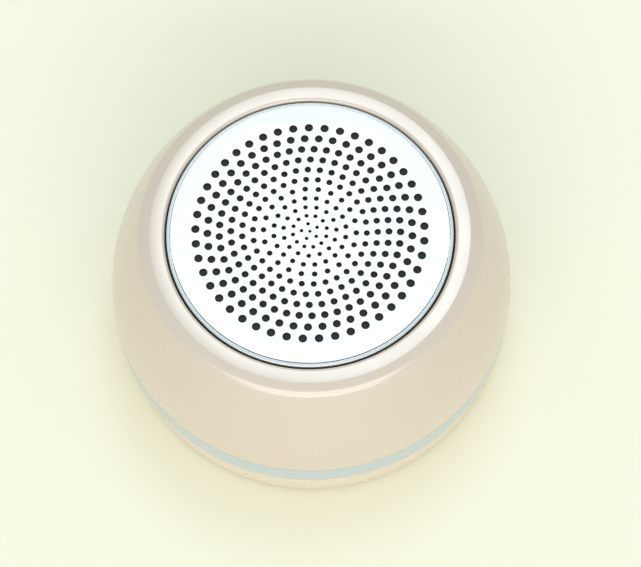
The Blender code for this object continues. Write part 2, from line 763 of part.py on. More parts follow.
def make_base_weight():
    """Steel disc glued to the base's floor."""
    low = BASE_FLOOR_Z + GAP
    high = low + WEIGHT_THICK
    profile = [(0.0, high), (WEIGHT_R, high), (WEIGHT_R, low), (0.0, low)]
    turned("base_weight", profile, STEEL)


# ---- screws ----
def make_screws(name, places, head_radius, over, under, tip):
    """Equal screws: heights of the head's outer face, the face under the head, and the tip."""
    side = [(head_radius, over), (head_radius, under), (SHANK_R, under), (SHANK_R, tip)]
    profile = [(0.0, over)] + side + [(0.0, tip)]
    if tip > over:
        profile.reverse()
    for number, place in enumerate(places):
        screw = turned(f"{name}_{number + 1}", profile, SCREW_STEEL, SCREW_STEPS)
        screw.matrix_world = place


def make_all_screws():
    """Case screws point up from the base; the others point down."""
    case = circle_places(CASE_SCREW_R, 4, CASE_SCREW_ANGLE)
    driver = circle_places(DRIVER_SCREW_R, 4)
    board = circle_places(BOARD_SCREW_R, 3, BOARD_SCREW_ANGLE)
    seat = WELL_TOP_Z - GAP
    make_screws("case_screw", case, 2.0, seat - 1.5, seat, 36.0)
    seat = BAFFLE_HIGH_Z + GAP
    make_screws("baffle_screw", case, 2.2, seat + 1.3, seat, 39.0)
    seat = FLANGE_HIGH_Z + GAP
    make_screws("driver_screw", driver, 1.9, seat + 1.3, seat, 42.5)
    seat = BOARD_TOP_Z + GAP
    make_screws("board_screw", board, 1.8, seat + 1.2, seat, 4.0)


start_clean()
SPEAKER = make_collection("smart_speaker")
TOOLS = make_collection("smart_speaker_tools")

BEIGE = make_material("beige_plastic", (0.80, 0.72, 0.58), 0.38)
KEY_BEIGE = make_material("key_plastic", (0.76, 0.68, 0.55), 0.45)
WHITE = make_material("white_disc", (0.93, 0.94, 0.94), 0.45)
POLISHED = make_material("polished_trim", (0.80, 0.84, 0.87), 0.12, 1.0)
MILKY = make_material("light_band", (0.60, 0.68, 0.66), 0.35)
FOAM = make_material("dark_foam", (0.03, 0.03, 0.03), 0.9)
CLOTH = make_material("black_cloth", (0.02, 0.02, 0.02), 0.95)
RUBBER = make_material("dark_rubber", (0.05, 0.05, 0.05), 0.8)
BLACK_PLASTIC = make_material("black_plastic", (0.03, 0.03, 0.03), 0.5)
STEEL = make_material("zinc_steel", (0.55, 0.56, 0.58), 0.35, 1.0)
STEEL_DARK = make_material("black_steel", (0.08, 0.08, 0.09), 0.45, 0.6)
FERRITE = make_material("ferrite", (0.07, 0.07, 0.07), 0.7)
COPPER = make_material("copper_coil", (0.72, 0.36, 0.18), 0.4, 1.0)
PAPER = make_material("black_paper", (0.05, 0.05, 0.05), 0.85)
SPIDER_CLOTH = make_material("spider_cloth", (0.62, 0.45, 0.18), 0.9)
BOARD_GREEN = make_material("circuit_board", (0.04, 0.22, 0.10), 0.4)
TAG_BROWN = make_material("tag_board", (0.35, 0.20, 0.08), 0.6)
PLUG_WHITE = make_material("white_plastic", (0.85, 0.85, 0.82), 0.5)
FLEX_BROWN = make_material("ribbon_film", (0.55, 0.30, 0.08), 0.35)
TINNED = make_material("tinned_steel", (0.70, 0.71, 0.72), 0.3, 1.0)
ALUMINIUM = make_material("can_aluminium", (0.75, 0.76, 0.78), 0.3, 1.0)
SCREW_STEEL = make_material("screw_steel", (0.45, 0.45, 0.46), 0.35, 1.0)
WIRE_RED = make_material("red_wire", (0.60, 0.04, 0.03), 0.45)
WIRE_BLACK = make_material("black_wire", (0.02, 0.02, 0.02), 0.45)

make_grille_disc()
make_grille_cloth()
make_trim_ring()
make_rim_gasket()
make_grille_carrier()
make_mic_boards()
make_upper_shell()
make_light_ring()
make_base_shell()
make_foot_ring()
make_keys()
make_button_board()
make_button_flex()
make_driver_baffle()
make_driver_basket()
make_driver_gasket()
make_motor()
make_cone_assembly()
make_suspension()
make_terminal()
make_speaker_lead("speaker_lead_red", 2.0, WIRE_RED)
make_speaker_lead("speaker_lead_black", -2.0, WIRE_BLACK)
make_main_board()
make_board_parts()
make_usb_socket()
make_led_parts()
make_base_weight()
make_all_screws()
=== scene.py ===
"""Looks of the round smart speaker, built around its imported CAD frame.

Sizes are in millimetres and become metres when a piece is made. The speaker stands on z = 0, its
axis is Z, its front faces -Y, and its keys and its power socket are at the back, +Y.
"""

import json
import math

import bmesh
import bpy
from mathutils import Matrix, Vector


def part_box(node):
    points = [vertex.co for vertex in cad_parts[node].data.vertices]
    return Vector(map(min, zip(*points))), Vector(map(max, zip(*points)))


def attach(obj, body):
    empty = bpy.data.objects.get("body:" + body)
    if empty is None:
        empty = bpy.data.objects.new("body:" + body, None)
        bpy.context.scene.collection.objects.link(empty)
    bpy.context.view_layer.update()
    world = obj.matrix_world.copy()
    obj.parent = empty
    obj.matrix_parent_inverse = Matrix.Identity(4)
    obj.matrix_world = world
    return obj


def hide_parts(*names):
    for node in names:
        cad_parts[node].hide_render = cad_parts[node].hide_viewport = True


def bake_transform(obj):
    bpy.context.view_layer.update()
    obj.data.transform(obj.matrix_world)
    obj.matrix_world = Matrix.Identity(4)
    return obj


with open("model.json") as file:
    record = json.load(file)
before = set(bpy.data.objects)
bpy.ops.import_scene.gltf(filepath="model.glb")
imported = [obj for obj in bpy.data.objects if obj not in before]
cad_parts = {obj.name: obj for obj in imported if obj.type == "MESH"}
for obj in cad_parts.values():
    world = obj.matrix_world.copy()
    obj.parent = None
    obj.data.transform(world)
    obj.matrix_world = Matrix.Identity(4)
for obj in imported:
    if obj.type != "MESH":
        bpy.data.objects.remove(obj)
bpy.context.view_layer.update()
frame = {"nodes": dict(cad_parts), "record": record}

MM = 0.001
WELD = 0.002 * MM
TURN_MERGE = 0.00001


def corner(node, which):
    """One corner of a CAD node's box, in millimetres: 0 is the lowest, 1 the highest."""
    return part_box(node)[which] / MM


# ---- sizes from the frame, in millimetres ----
TOP_Z = corner("grille_disc", 1).z
DISC_R = corner("grille_disc", 1).x
DISC_UNDER_Z = corner("grille_disc", 0).z
CLOTH_R = corner("grille_cloth", 1).x
CLOTH_LOW_Z = corner("grille_cloth", 0).z
CLOTH_HIGH_Z = corner("grille_cloth", 1).z
TRIM_OUTER_R = corner("trim_ring", 1).x
TRIM_LOW_Z = corner("trim_ring", 0).z
GASKET_LOW_Z = corner("rim_gasket", 0).z
GASKET_HIGH_Z = corner("rim_gasket", 1).z
SHELL_BOTTOM_Z = corner("upper_shell", 0).z
BODY_R = corner("upper_shell", 1).x
TONGUE_LOW_Z = corner("light_ring", 0).z
TONGUE_HIGH_Z = corner("light_ring", 1).z
FOOT_OUTER_R = corner("foot_ring", 1).x
FOOT_HIGH_Z = corner("foot_ring", 1).z

# ---- outline of the shells, as the CAD has it ----
LIP_INNER_R = 34.85
LIP_ROUND = 0.8
LIP_UNDER_Z = TOP_Z - 2.6
LIP_UNDER_R = 40.2
CREASE = (38.5, TOP_Z - 0.15)
CREASE_ROUND = 0.9
BEVEL_DEGREES = 20.0
BEVEL_END = (40.0, TOP_Z - 0.68)
BEND_R = 3.0
SIDE_DEGREES = 62.0
SIDE_CONTROL = (49.6, 36.8)
SIDE_END = (BODY_R, SHELL_BOTTOM_Z)
BAND_TOP_R = BODY_R - 0.3
BAND_BOTTOM_Z = 14.8
SEAM = 0.12
BASE_TOP = (BODY_R - 0.1, BAND_BOTTOM_Z - 0.3)
BASE_CONTROL = (49.1, 8.0)
BASE_LOW = (48.0, 1.1)
BASE_UNDER_Z = 0.6
BASE_EDGE_R = 47.2
BASE_EDGE_ROUND = 0.4
BASE_FLOOR_R = 43.6
BASE_FLOOR_Z = 3.0
WALL = 2.0

# ---- soft edges of the two shells where they meet the light band ----
SEAM_EDGE = 0.25
SEAM_EDGE_NEAR = 0.07
SEAM_EDGE_FAR = 0.08

# ---- light band and the tongues that hold it between the shells ----
BAND_FLARE = 0.2
BAND_ROUND = 0.2
TONGUE_OUTER_R = BODY_R - 2.6
TONGUE_INNER_R = TONGUE_OUTER_R - 1.6

# ---- rubber foot, its seat in the base and the grooves under it ----
FOOT_INNER_R = 36.0
FOOT_GAP = 0.3
FOOT_SEAT_DEPTH = 1.2
FOOT_SEAT_ROUND = 0.15
FOOT_TOP_ROUND = 0.1
FOOT_SOLE_ROUND = 0.3
TREAD_GROOVES = 6
TREAD_HALF_WIDTH = 0.2
TREAD_DEPTH = 0.3

# ---- polished ring: a crest beside the disc, a bevel, a side and a ledge under the disc ----
TRIM_INNER_R = 33.65
TRIM_REACH = 0.12
TRIM_REACH_DROP = 0.2
TRIM_REACH_ROUND = 0.03
TRIM_CREST = 0.08
TRIM_CREST_DROP = 0.1
TRIM_CREST_ROUND = 0.08
TRIM_SHOULDER = 0.12
TRIM_SHOULDER_DROP = 0.38
TRIM_SIDE_DROP = 0.8
TRIM_ROUND = 0.12
LEDGE_INNER_R = 32.2
LEDGE_Z = TOP_Z - 1.4
LEDGE_ROUND = 0.1
GASKET_GAP = 0.02

# ---- perforation: hole rings counted from the centre outwards ----
HOLES_IN_RING = [1, 5, 12, 15, 20, 22, 30, 35, 40, 45, 45, 45]
RING_PITCH = 1.947
RING_PITCH_GROWTH = 0.0589
RING_PITCH_SLOWING = 0.00085
RING_START_DEGREES = 103.3
RING_TURN_DEGREES = 1.5
RING_TURN_GROWTH = 0.045
HOLE_MIDDLE_D = 0.79
HOLE_GROWTH = 0.1145
HOLE_SIDES = 20
HOLE_EDGE = 0.03
# height over which the disc's white blends into the painted shade on its walls
WALL_SHADE_BLEND = 0.01

# ---- keys: heights are along each key's own axis, 0 on the body's surface ----
KEYS = ("volume_up_key", "volume_down_key", "mute_key", "power_key")
KEY_Z = 33.0
KEY_STEP_DEGREES = 10.6
KEY_R = 3.2
KEY_PROUD = 0.4
KEY_DISH = 0.12
KEY_DISH_SHARE = 0.8
KEY_DISH_STEPS = 6
KEY_RIM_ROUND = 0.25
KEY_FLANGE_R = KEY_R + 0.7
KEY_FLANGE_HIGH = -2.5
KEY_FLANGE_LOW = -3.5
KEY_STEM_R = 1.2
KEY_STEM_LOW = -5.0
KEY_ROUND = 0.1
KEY_HOLE_R = 3.38
KEY_HOLE_FLARE = 2.2
KEY_HOLE_HIGH = 2.0
KEY_HOLE_NECK = -0.2
KEY_HOLE_LOW = -3.5
KEY_SEARCH_STEPS = 30
KEY_SEARCH_STRIDE = 40.0

# ---- generic marks on the keys: lines and the dot are given by half their width ----
MARK_PROUD = 0.07
MARK_SUNK = 0.15
MARK_REACH = 1.1
MARK_HALF_LINE = 0.17
MARK_RING_INNER = 0.85
MARK_RING_OUTER = 1.15
MARK_DOT = 0.3
POWER_GAP_DEGREES = 70.0
POWER_BAR_TOP = 1.3
POWER_BAR_BOTTOM = 0.2
POWER_BAR_HALF_LINE = 0.15

# ---- power socket: depths are along its own axis, which runs in from the back ----
SOCKET_Z = 10.55
SOCKET_WIDTH = 8.94
SOCKET_HEIGHT = 3.26
SOCKET_DEPTHS = (-48.5, -41.0)
MOUTH_WIDTH = 8.4
MOUTH_HEIGHT = 2.72
MOUTH_CUT = (-50.0, -42.4)
SLOT_WIDTH = 9.6
SLOT_HEIGHT = 3.9
SLOT_CUT = (-52.0, -44.0)
SLOT_FLARE = 1.6
SLOT_FLARE_CUT = (-51.0, -49.0)
SOCKET_TONGUE_HALF_WIDTH = 3.35
SOCKET_TONGUE_HALF_HEIGHT = 0.35
SOCKET_TONGUE_DEPTHS = (-47.8, -42.0)
CONTACTS_PER_SIDE = 12
CONTACT_FIRST = -2.75
CONTACT_PITCH = 0.5
CONTACT_HALF_WIDTH = 0.12
CONTACT_HEIGHTS = (0.33, 0.38)
CONTACT_DEPTHS = (-47.4, -43.5)

# ---- moving half of the driver, and its suspension ----
CONE_NECK_R = 10.4
CONE_NECK_Z = 39.1
CONE_EDGE_R = 20.9
CONE_RIM_R = 22.2
CONE_RIM_Z = 46.4
CONE_FLARE = 1.1
CONE_RIBS = 3
CONE_RIB_HEIGHT = 0.08
PAPER_THICK = 0.5
DOME_R = 11.8
DOME_TOP_Z = 43.6
DOME_DROP = 2.7
SURROUND_START_R = 21.0
SURROUND_INNER_R = 22.4
SURROUND_WIDTH = 4.8
SURROUND_END_R = 29.3
SURROUND_INNER_Z = CONE_RIM_Z + 0.7
SURROUND_RIM_Z = 48.3
SURROUND_LIFT = 2.0
SURROUND_THICK = 0.4
SPIDER_START_R = CONE_NECK_R + 0.1
SPIDER_INNER_R = 11.2
SPIDER_WIDTH = 9.6
SPIDER_END_R = 23.0
SPIDER_NECK_Z = 36.4
SPIDER_RIM_Z = 38.2
SPIDER_WAVES = 3
SPIDER_WAVE_HEIGHT = 0.45
SPIDER_THICK = 0.3

# ---- how finely curves are cut ----
CORNER_STEPS = 5
LIP_STEPS = 6
BEND_STEPS = 10
SIDE_STEPS = 24
SIDE_INNER_STEPS = 8
BASE_STEPS = 16
BASE_INNER_STEPS = 6
CONE_STEPS = 18
DOME_STEPS = 12
SPIDER_STEPS = 36
FINE_STEPS = 144
PLAIN_STEPS = 96
SMALL_STEPS = 48
STADIUM_STEPS = 32

# ---- angles above which an edge is shaded as a crisp corner ----
CRISP_DEGREES = 32.0
DISC_CRISP_DEGREES = 50.0
SOFT_CRISP_DEGREES = 60.0

# ---- colours of the outside ----
DISC_COLOUR = (0.95, 0.95, 0.94)
# painted shade: dark grey on the walls of the disc's holes and on its outer edge, where shade
# falls
HOLE_SHADE_COLOUR = (0.10, 0.10, 0.10)
TRIM_COLOUR = (0.86, 0.90, 0.93)
BAND_COLOUR = (0.45, 0.505, 0.50)
BEIGE_COLOUR = (0.675, 0.56, 0.46)
# painted light: the base is the shell's beige plastic, made lighter so the low base looks as lit
# as it does with light bounced from the floor
BASE_COLOUR_WITH_PAINTED_LIGHT = (0.74, 0.625, 0.505)
KEY_COLOUR = (0.63, 0.52, 0.425)
MARK_COLOUR = (0.30, 0.25, 0.18)
FLOOR_COLOUR = (0.919, 0.868, 0.675)

# ---- node fields: a noise mostly stays between these two, a wave repeats at this length ----
NOISE_LOW = 0.3
NOISE_HIGH = 0.7
WAVE_REPEAT = 0.314

# ---- stage, in metres, degrees and watts ----
FLOOR_HALF = 3.0
FLOOR_Z = -0.03 * MM
LIGHT_AIM = Vector((0.0, 0.0, 0.03))
ROOM_COLOUR = (0.723, 0.80, 0.812, 1.0)
# name, azimuth, elevation, distance, width, height, power, colour
LIGHTS = [
    ("front_softbox", 0.0, 42.0, 5.0, 7.5, 1.5, 82.0, (1.0, 0.865, 0.76)),
    ("low_softbox", 0.0, 14.0, 5.0, 6.2, 2.1, 96.3, (0.60, 0.78, 0.96)),
    ("top_softbox", 175.0, 66.0, 1.2, 0.4, 0.5, 1.95, (0.66, 0.84, 1.0)),
    ("top_right_softbox", 145.0, 70.0, 1.2, 0.3, 0.4, 0.72, (0.53, 0.74, 1.0)),
]
CAMERA_ELEVATION = 68.03
CAMERA_ROLL = -1.35
CAMERA_DISTANCE = 0.5619
CAMERA_AIM = Vector((0.00224, -0.01354, TOP_Z * MM))
CAMERA_LENS_MM = 133.2
CAMERA_SENSOR_MM = 36.0
CAMERA_CLIP_START = 0.01


# ================= shapes =================
def polar(radius, degrees):
    """A point on a circle round the axis."""
    angle = math.radians(degrees)
    return Vector((radius * math.cos(angle), radius * math.sin(angle), 0.0))


def ring_angles(count, start=0.0):
    """Equal steps round the axis, in degrees."""
    return [start + 360.0 * number / count for number in range(count)]


def curve_point(start, control, end, share, inward=0.0):
    """A point on a quadratic curve, moved inward from it at right angles."""
    rest = 1.0 - share
    weights = (rest * rest, 2 * rest * share, share * share)
    point = [weights[0] * start[k] + weights[1] * control[k] + weights[2] * end[k] for k in (0, 1)]
    slope = [rest * (control[k] - start[k]) + share * (end[k] - control[k]) for k in (0, 1)]
    length = math.hypot(slope[0], slope[1])
    return (point[0] + inward * slope[1] / length, point[1] - inward * slope[0] / length)


def arc(centre, radius, start, end, steps):
    """Points along an arc in the (radius, z) plane, angles in degrees."""
    points = []
    for number in range(steps + 1):
        angle = math.radians(start + (end - start) * number / steps)
        points.append((centre[0] + radius * math.cos(angle), centre[1] + radius * math.sin(angle)))
    return points


def bend_points(steps):
    """The soft bend between the lip's bevel and the body's side."""
    bevel = math.radians(BEVEL_DEGREES)
    centre = (BEVEL_END[0] - BEND_R * math.sin(bevel), BEVEL_END[1] - BEND_R * math.cos(bevel))
    return arc(centre, BEND_R, 90.0 - BEVEL_DEGREES, 90.0 - SIDE_DEGREES, steps)


def side_point(share, inward=0.0):
    """A point on the body's side: share 0 is at the bend, share 1 is above the light band."""
    return curve_point(bend_points(1)[-1], SIDE_CONTROL, SIDE_END, share, inward)


def base_point(share, inward=0.0):
    """A point on the base's side: share 0 is below the light band, share 1 is low down."""
    return curve_point(BASE_TOP, BASE_CONTROL, BASE_LOW, share, inward)


def rounded(corners):
    """An outline with soft corners. Each corner is (radius, z, rounding)."""
    most_of_side = 0.49
    count = len(corners)
    outline = []
    for number, (x, z, rounding) in enumerate(corners):
        here = Vector((x, z))
        back = Vector(corners[number - 1][:2]) - here
        ahead = Vector(corners[(number + 1) % count][:2]) - here
        if rounding <= 0.0:
            outline.append((x, z))
            continue
        back_way = back.normalized()
        ahead_way = ahead.normalized()
        half = back_way.angle(ahead_way) / 2
        most = min(back.length, ahead.length) * most_of_side
        reach = min(rounding / math.tan(half), most)
        first = here + back_way * reach
        last = here + ahead_way * reach
        for step in range(CORNER_STEPS + 1):
            share = step / CORNER_STEPS
            rest = 1.0 - share
            spot = first * rest * rest + here * 2 * rest * share + last * share * share
            outline.append((spot.x, spot.y))
    return outline


def sheet(path, thick):
    """A thin sheet's outline, half its thickness on each side of its middle line."""
    over, under = [], []
    for number, (radius, z) in enumerate(path):
        back = path[max(number - 1, 0)]
        ahead = path[min(number + 1, len(path) - 1)]
        run, rise = ahead[0] - back[0], ahead[1] - back[1]
        scale = thick / 2 / math.hypot(run, rise)
        over.append((radius - rise * scale if radius > 0.0 else 0.0, z + run * scale))
        under.append((radius + rise * scale if radius > 0.0 else 0.0, z - run * scale))
    return over + under[::-1]


def add_object(name, data):
    """A new object in the scene."""
    piece = bpy.data.objects.new(name, data)
    bpy.context.scene.collection.objects.link(piece)
    return piece


def settle(piece, crisp_degrees=CRISP_DEGREES):
    """Apply a piece's modifiers, weld it, and shade it smooth with crisp corners."""
    bpy.context.view_layer.update()
    graph = bpy.context.evaluated_depsgraph_get()
    mesh = bpy.data.meshes.new_from_object(piece.evaluated_get(graph), depsgraph=graph)
    shape = bmesh.new()
    shape.from_mesh(mesh)
    bmesh.ops.remove_doubles(shape, verts=shape.verts, dist=WELD)
    shape.to_mesh(mesh)
    shape.free()
    mesh.shade_smooth()
    mesh.set_sharp_from_angle(angle=math.radians(crisp_degrees))
    name = piece.name
    place = piece.matrix_world.copy()
    bpy.data.objects.remove(piece, do_unlink=True)
    solid = add_object(name, mesh)
    solid.matrix_world = place
    return solid


def lathe(name, outline, steps=FINE_STEPS):
    """A solid turned round Z, from an outline of (radius, z) points.

    The outline runs outwards over the top and down the outer side. It is closed along the axis
    when it starts there, or else back to its first point.
    """
    mesh = bpy.data.meshes.new(name)
    points = [(radius * MM, 0.0, z * MM) for radius, z in outline]
    edges = [(number, number + 1) for number in range(len(points) - 1)]
    if outline[0][0] > 0.0:
        edges.append((len(points) - 1, 0))
    mesh.from_pydata(points, edges, [])
    piece = add_object(name, mesh)
    screw = piece.modifiers.new("Turn", "SCREW")
    screw.steps = steps
    screw.render_steps = steps
    screw.use_merge_vertices = True
    screw.merge_threshold = TURN_MERGE
    return piece


def cut(piece, tools):
    """Cut tools out of a piece, and remove the tools."""
    for number, tool in enumerate(tools):
        modifier = piece.modifiers.new(f"cut_{number}", "BOOLEAN")
        modifier.operation = "DIFFERENCE"
        modifier.solver = "EXACT"
        modifier.object = tool
    solid = settle(piece)
    for tool in tools:
        bpy.data.objects.remove(tool, do_unlink=True)
    return solid


def stadium(name, width, height, depths, place, chamfer=0.0):
    """A flat bar with round ends along its own Z axis; chamfer widens it at its low end."""
    low, high = depths
    shape = bmesh.new()
    bmesh.ops.create_cone(
        shape,
        cap_ends=True,
        segments=STADIUM_STEPS,
        radius1=(height / 2 + chamfer) * MM,
        radius2=height / 2 * MM,
        depth=(high - low) * MM,
    )
    shift = (width - height) / 2 * MM
    for point in shape.verts:
        point.co.x += math.copysign(shift, point.co.x)
        point.co.z += (low + high) / 2 * MM
    mesh = bpy.data.meshes.new(name)
    shape.to_mesh(mesh)
    shape.free()
    piece = add_object(name, mesh)
    piece.matrix_world = place
    return piece


def block(name, low, high, place=None):
    """A box between two corners."""
    shape = bmesh.new()
    bmesh.ops.create_cube(shape, size=1.0)
    for point in shape.verts:
        point.co = Vector([(high[k] if point.co[k] > 0 else low[k]) * MM for k in range(3)])
    mesh = bpy.data.meshes.new(name)
    shape.to_mesh(mesh)
    shape.free()
    piece = add_object(name, mesh)
    if place is not None:
        piece.matrix_world = place
    return piece


# ================= materials =================
class Finish:
    """A small builder for a node material on one Principled shader."""

    def __init__(self, name, colour, roughness, metallic=0.0):
        self.material = bpy.data.materials.new(name)
        self.material.use_nodes = True
        self.tree = self.material.node_tree
        self.shader = self.tree.nodes["Principled BSDF"]
        self.colour = colour
        self.shader.inputs["Base Color"].default_value = (*colour, 1.0)
        self.shader.inputs["Roughness"].default_value = roughness
        self.shader.inputs["Metallic"].default_value = metallic
        self.place = self.tree.nodes.new("ShaderNodeTexCoord")
        self.height = None

    def node(self, kind, **values):
        """A new node with some of its sockets set."""
        made = self.tree.nodes.new(kind)
        for key, value in values.items():
            made.inputs[key.replace("_", " ")].default_value = value
        return made

    def link(self, out, into):
        """Join two sockets."""
        self.tree.links.new(out, into)

    def set(self, **values):
        """Constants on the shader's own sockets."""
        for key, value in values.items():
            self.shader.inputs[key.replace("_", " ")].default_value = value
        return self

    def stretch(self, scale):
        """The object's own coordinates, scaled along each axis."""
        mapping = self.tree.nodes.new("ShaderNodeMapping")
        mapping.inputs["Scale"].default_value = scale
        self.link(self.place.outputs["Object"], mapping.inputs["Vector"])
        return mapping.outputs["Vector"]

    def noise(self, scale, detail=3.0, stretch=(1.0, 1.0, 1.0)):
        """A noise field over the piece."""
        made = self.node("ShaderNodeTexNoise", Scale=scale, Detail=detail)
        self.link(self.stretch(stretch), made.inputs["Vector"])
        return made.outputs["Fac"]

    def spread(self, field, low, high, from_low=NOISE_LOW, from_high=NOISE_HIGH):
        """A field mapped to a range of values."""
        made = self.node("ShaderNodeMapRange")
        made.inputs["From Min"].default_value = from_low
        made.inputs["From Max"].default_value = from_high
        made.inputs["To Min"].default_value = low
        made.inputs["To Max"].default_value = high
        self.link(field, made.inputs["Value"])
        return made.outputs["Result"]

    def tint(self, field, dark, light, from_low=NOISE_LOW, from_high=NOISE_HIGH):
        """Base colour that follows a field from one shade to another."""
        ramp = self.tree.nodes.new("ShaderNodeValToRGB")
        ramp.color_ramp.elements[0].position = from_low
        ramp.color_ramp.elements[1].position = from_high
        ramp.color_ramp.elements[0].color = (*dark, 1.0)
        ramp.color_ramp.elements[1].color = (*light, 1.0)
        self.link(field, ramp.inputs["Fac"])
        self.link(ramp.outputs["Color"], self.shader.inputs["Base Color"])
        return self

    def drift(self, scale, amount):
        """A slow, faint change of shade over the piece."""
        dark = [channel * (1.0 - amount) for channel in self.colour]
        light = [min(1.0, channel * (1.0 + amount)) for channel in self.colour]
        return self.tint(self.noise(scale), dark, light)

    def uneven_gloss(self, low, high, scale=120.0):
        """Roughness that changes over the piece."""
        gloss = self.spread(self.noise(scale, detail=4.0), low, high)
        self.link(gloss, self.shader.inputs["Roughness"])
        return self

    def relief(self, field, depth_mm):
        """Fine relief, in millimetres of height. Calls stack up."""
        bump = self.node("ShaderNodeBump", Strength=1.0, Distance=depth_mm * MM)
        self.link(field, bump.inputs["Height"])
        if self.height is not None:
            self.link(self.height.outputs["Normal"], bump.inputs["Normal"])
        self.link(bump.outputs["Normal"], self.shader.inputs["Normal"])
        self.height = bump
        return self

    def grain(self, scale, depth_mm, detail=2.0):
        """Moulded or powdery texture."""
        return self.relief(self.noise(scale, detail), depth_mm)

    def radius_field(self):
        """Distance from the speaker's axis, in metres."""
        split = self.tree.nodes.new("ShaderNodeSeparateXYZ")
        self.link(self.place.outputs["Object"], split.inputs["Vector"])
        flat = self.tree.nodes.new("ShaderNodeCombineXYZ")
        self.link(split.outputs["X"], flat.inputs["X"])
        self.link(split.outputs["Y"], flat.inputs["Y"])
        length = self.tree.nodes.new("ShaderNodeVectorMath")
        length.operation = "LENGTH"
        self.link(flat.outputs["Vector"], length.inputs[0])
        return length.outputs["Value"]

    def turned_lines(self, pitch_mm, depth_mm):
        """Fine concentric lines, as turning leaves them."""
        lines = self.tree.nodes.new("ShaderNodeTexNoise")
        lines.noise_dimensions = "1D"
        lines.inputs["Scale"].default_value = 1.0 / (pitch_mm * MM)
        lines.inputs["Detail"].default_value = 2.0
        self.link(self.radius_field(), lines.inputs["W"])
        return self.relief(lines.outputs["Fac"], depth_mm)

    def wave(self, pitch_mm, direction, profile="SIN"):
        """Even stripes across one axis."""
        made = self.tree.nodes.new("ShaderNodeTexWave")
        made.bands_direction = direction
        made.wave_profile = profile
        made.inputs["Scale"].default_value = WAVE_REPEAT / (pitch_mm * MM)
        self.link(self.place.outputs["Object"], made.inputs["Vector"])
        return made.outputs["Fac"]

    def greater(self, first, second):
        """The larger of two fields."""
        made = self.tree.nodes.new("ShaderNodeMath")
        made.operation = "MAXIMUM"
        self.link(first, made.inputs[0])
        self.link(second, made.inputs[1])
        return made.outputs["Value"]

    def weave(self, pitch_mm, depth_mm, dark, light):
        """Plain woven cloth in the XY plane."""
        warp = self.wave(pitch_mm, "X")
        weft = self.wave(pitch_mm, "Y")
        threads = self.greater(warp, weft)
        self.tint(threads, dark, light, from_low=0.2, from_high=0.95)
        return self.relief(threads, depth_mm)


def beige_plastic(name, colour):
    """Satin champagne plastic with a very fine moulded grain."""
    finish = Finish(name, colour, roughness=0.28, metallic=0.25)
    finish.drift(scale=35.0, amount=0.01).uneven_gloss(0.26, 0.31, scale=90.0)
    finish.grain(scale=2600.0, depth_mm=0.0004)
    finish.set(Coat_Weight=0.4, Coat_Roughness=0.26, Specular_IOR_Level=0.5)
    return finish.material


def white_disc():
    """Fine matt white coat on the top face; painted shade, a dark grey, on the hole walls and the
    disc's edge below it.
    """
    finish = Finish("white_powder_coat", DISC_COLOUR, roughness=0.45)
    split = finish.tree.nodes.new("ShaderNodeSeparateXYZ")
    finish.link(finish.place.outputs["Object"], split.inputs["Vector"])
    # painted shade: below the top face's soft edge the walls turn dark grey, so the holes and the
    # disc's edge look shaded
    shade_top_z = (TOP_Z - DISC_UNDER_Z) / 2 - HOLE_EDGE
    painted_shade_mask = finish.spread(split.outputs["Z"], 0.0, 1.0, (shade_top_z - WALL_SHADE_BLEND) * MM, shade_top_z * MM)
    finish.tint(painted_shade_mask, HOLE_SHADE_COLOUR, DISC_COLOUR, from_low=0.0, from_high=1.0)
    finish.uneven_gloss(0.42, 0.5, scale=300.0)
    return finish.grain(scale=3000.0, depth_mm=0.002).material


def polished_trim():
    """Polished metal with faint turned lines."""
    finish = Finish("polished_metal", TRIM_COLOUR, roughness=0.1, metallic=1.0)
    finish.drift(scale=80.0, amount=0.01).uneven_gloss(0.16, 0.22, scale=60.0)
    return finish.turned_lines(pitch_mm=0.12, depth_mm=0.0002).material


def light_band():
    """Milky diffuser, lamps off."""
    finish = Finish("milky_diffuser", BAND_COLOUR, roughness=0.25)
    finish.drift(scale=40.0, amount=0.01).uneven_gloss(0.22, 0.28, scale=60.0)
    return finish.set(Coat_Weight=0.2, Coat_Roughness=0.2).material


def dark_cloth():
    """Open black acoustic cloth behind the holes."""
    finish = Finish("acoustic_cloth", (0.03, 0.03, 0.03), roughness=0.85)
    finish.weave(0.22, 0.05, dark=(0.012, 0.012, 0.012), light=(0.055, 0.054, 0.053))
    return finish.set(Sheen_Weight=0.1, Sheen_Roughness=0.4).material


def dark_foam():
    """Closed-cell foam."""
    finish = Finish("dark_foam", (0.035, 0.033, 0.030), roughness=0.9)
    finish.drift(scale=400.0, amount=0.25)
    return finish.grain(scale=2500.0, depth_mm=0.03).material


def rubber(name, shade):
    """Matt rubber, faintly dusty."""
    finish = Finish(name, (shade, shade, shade * 1.02), roughness=0.75)
    finish.drift(scale=120.0, amount=0.12).uneven_gloss(0.65, 0.85, scale=200.0)
    return finish.grain(scale=1800.0, depth_mm=0.012).material


def dark_plastic(name, shade):
    """Moulded inner plastic with a spark-eroded grain."""
    finish = Finish(name, (shade, shade, shade), roughness=0.5)
    finish.drift(scale=90.0, amount=0.08).uneven_gloss(0.42, 0.58)
    return finish.grain(scale=1500.0, depth_mm=0.01).material


def circuit_board():
    """Green solder mask over copper tracks."""
    finish = Finish("circuit_board", (0.03, 0.20, 0.09), roughness=0.35)
    tracks = finish.greater(finish.wave(2.4, "X", "SAW"), finish.wave(3.1, "Y", "SAW"))
    finish.tint(tracks, (0.02, 0.15, 0.07), (0.05, 0.27, 0.12), from_low=0.86, from_high=0.9)
    finish.relief(tracks, depth_mm=0.02).uneven_gloss(0.28, 0.42, scale=200.0)
    return finish.set(Coat_Weight=0.4, Coat_Roughness=0.15).material


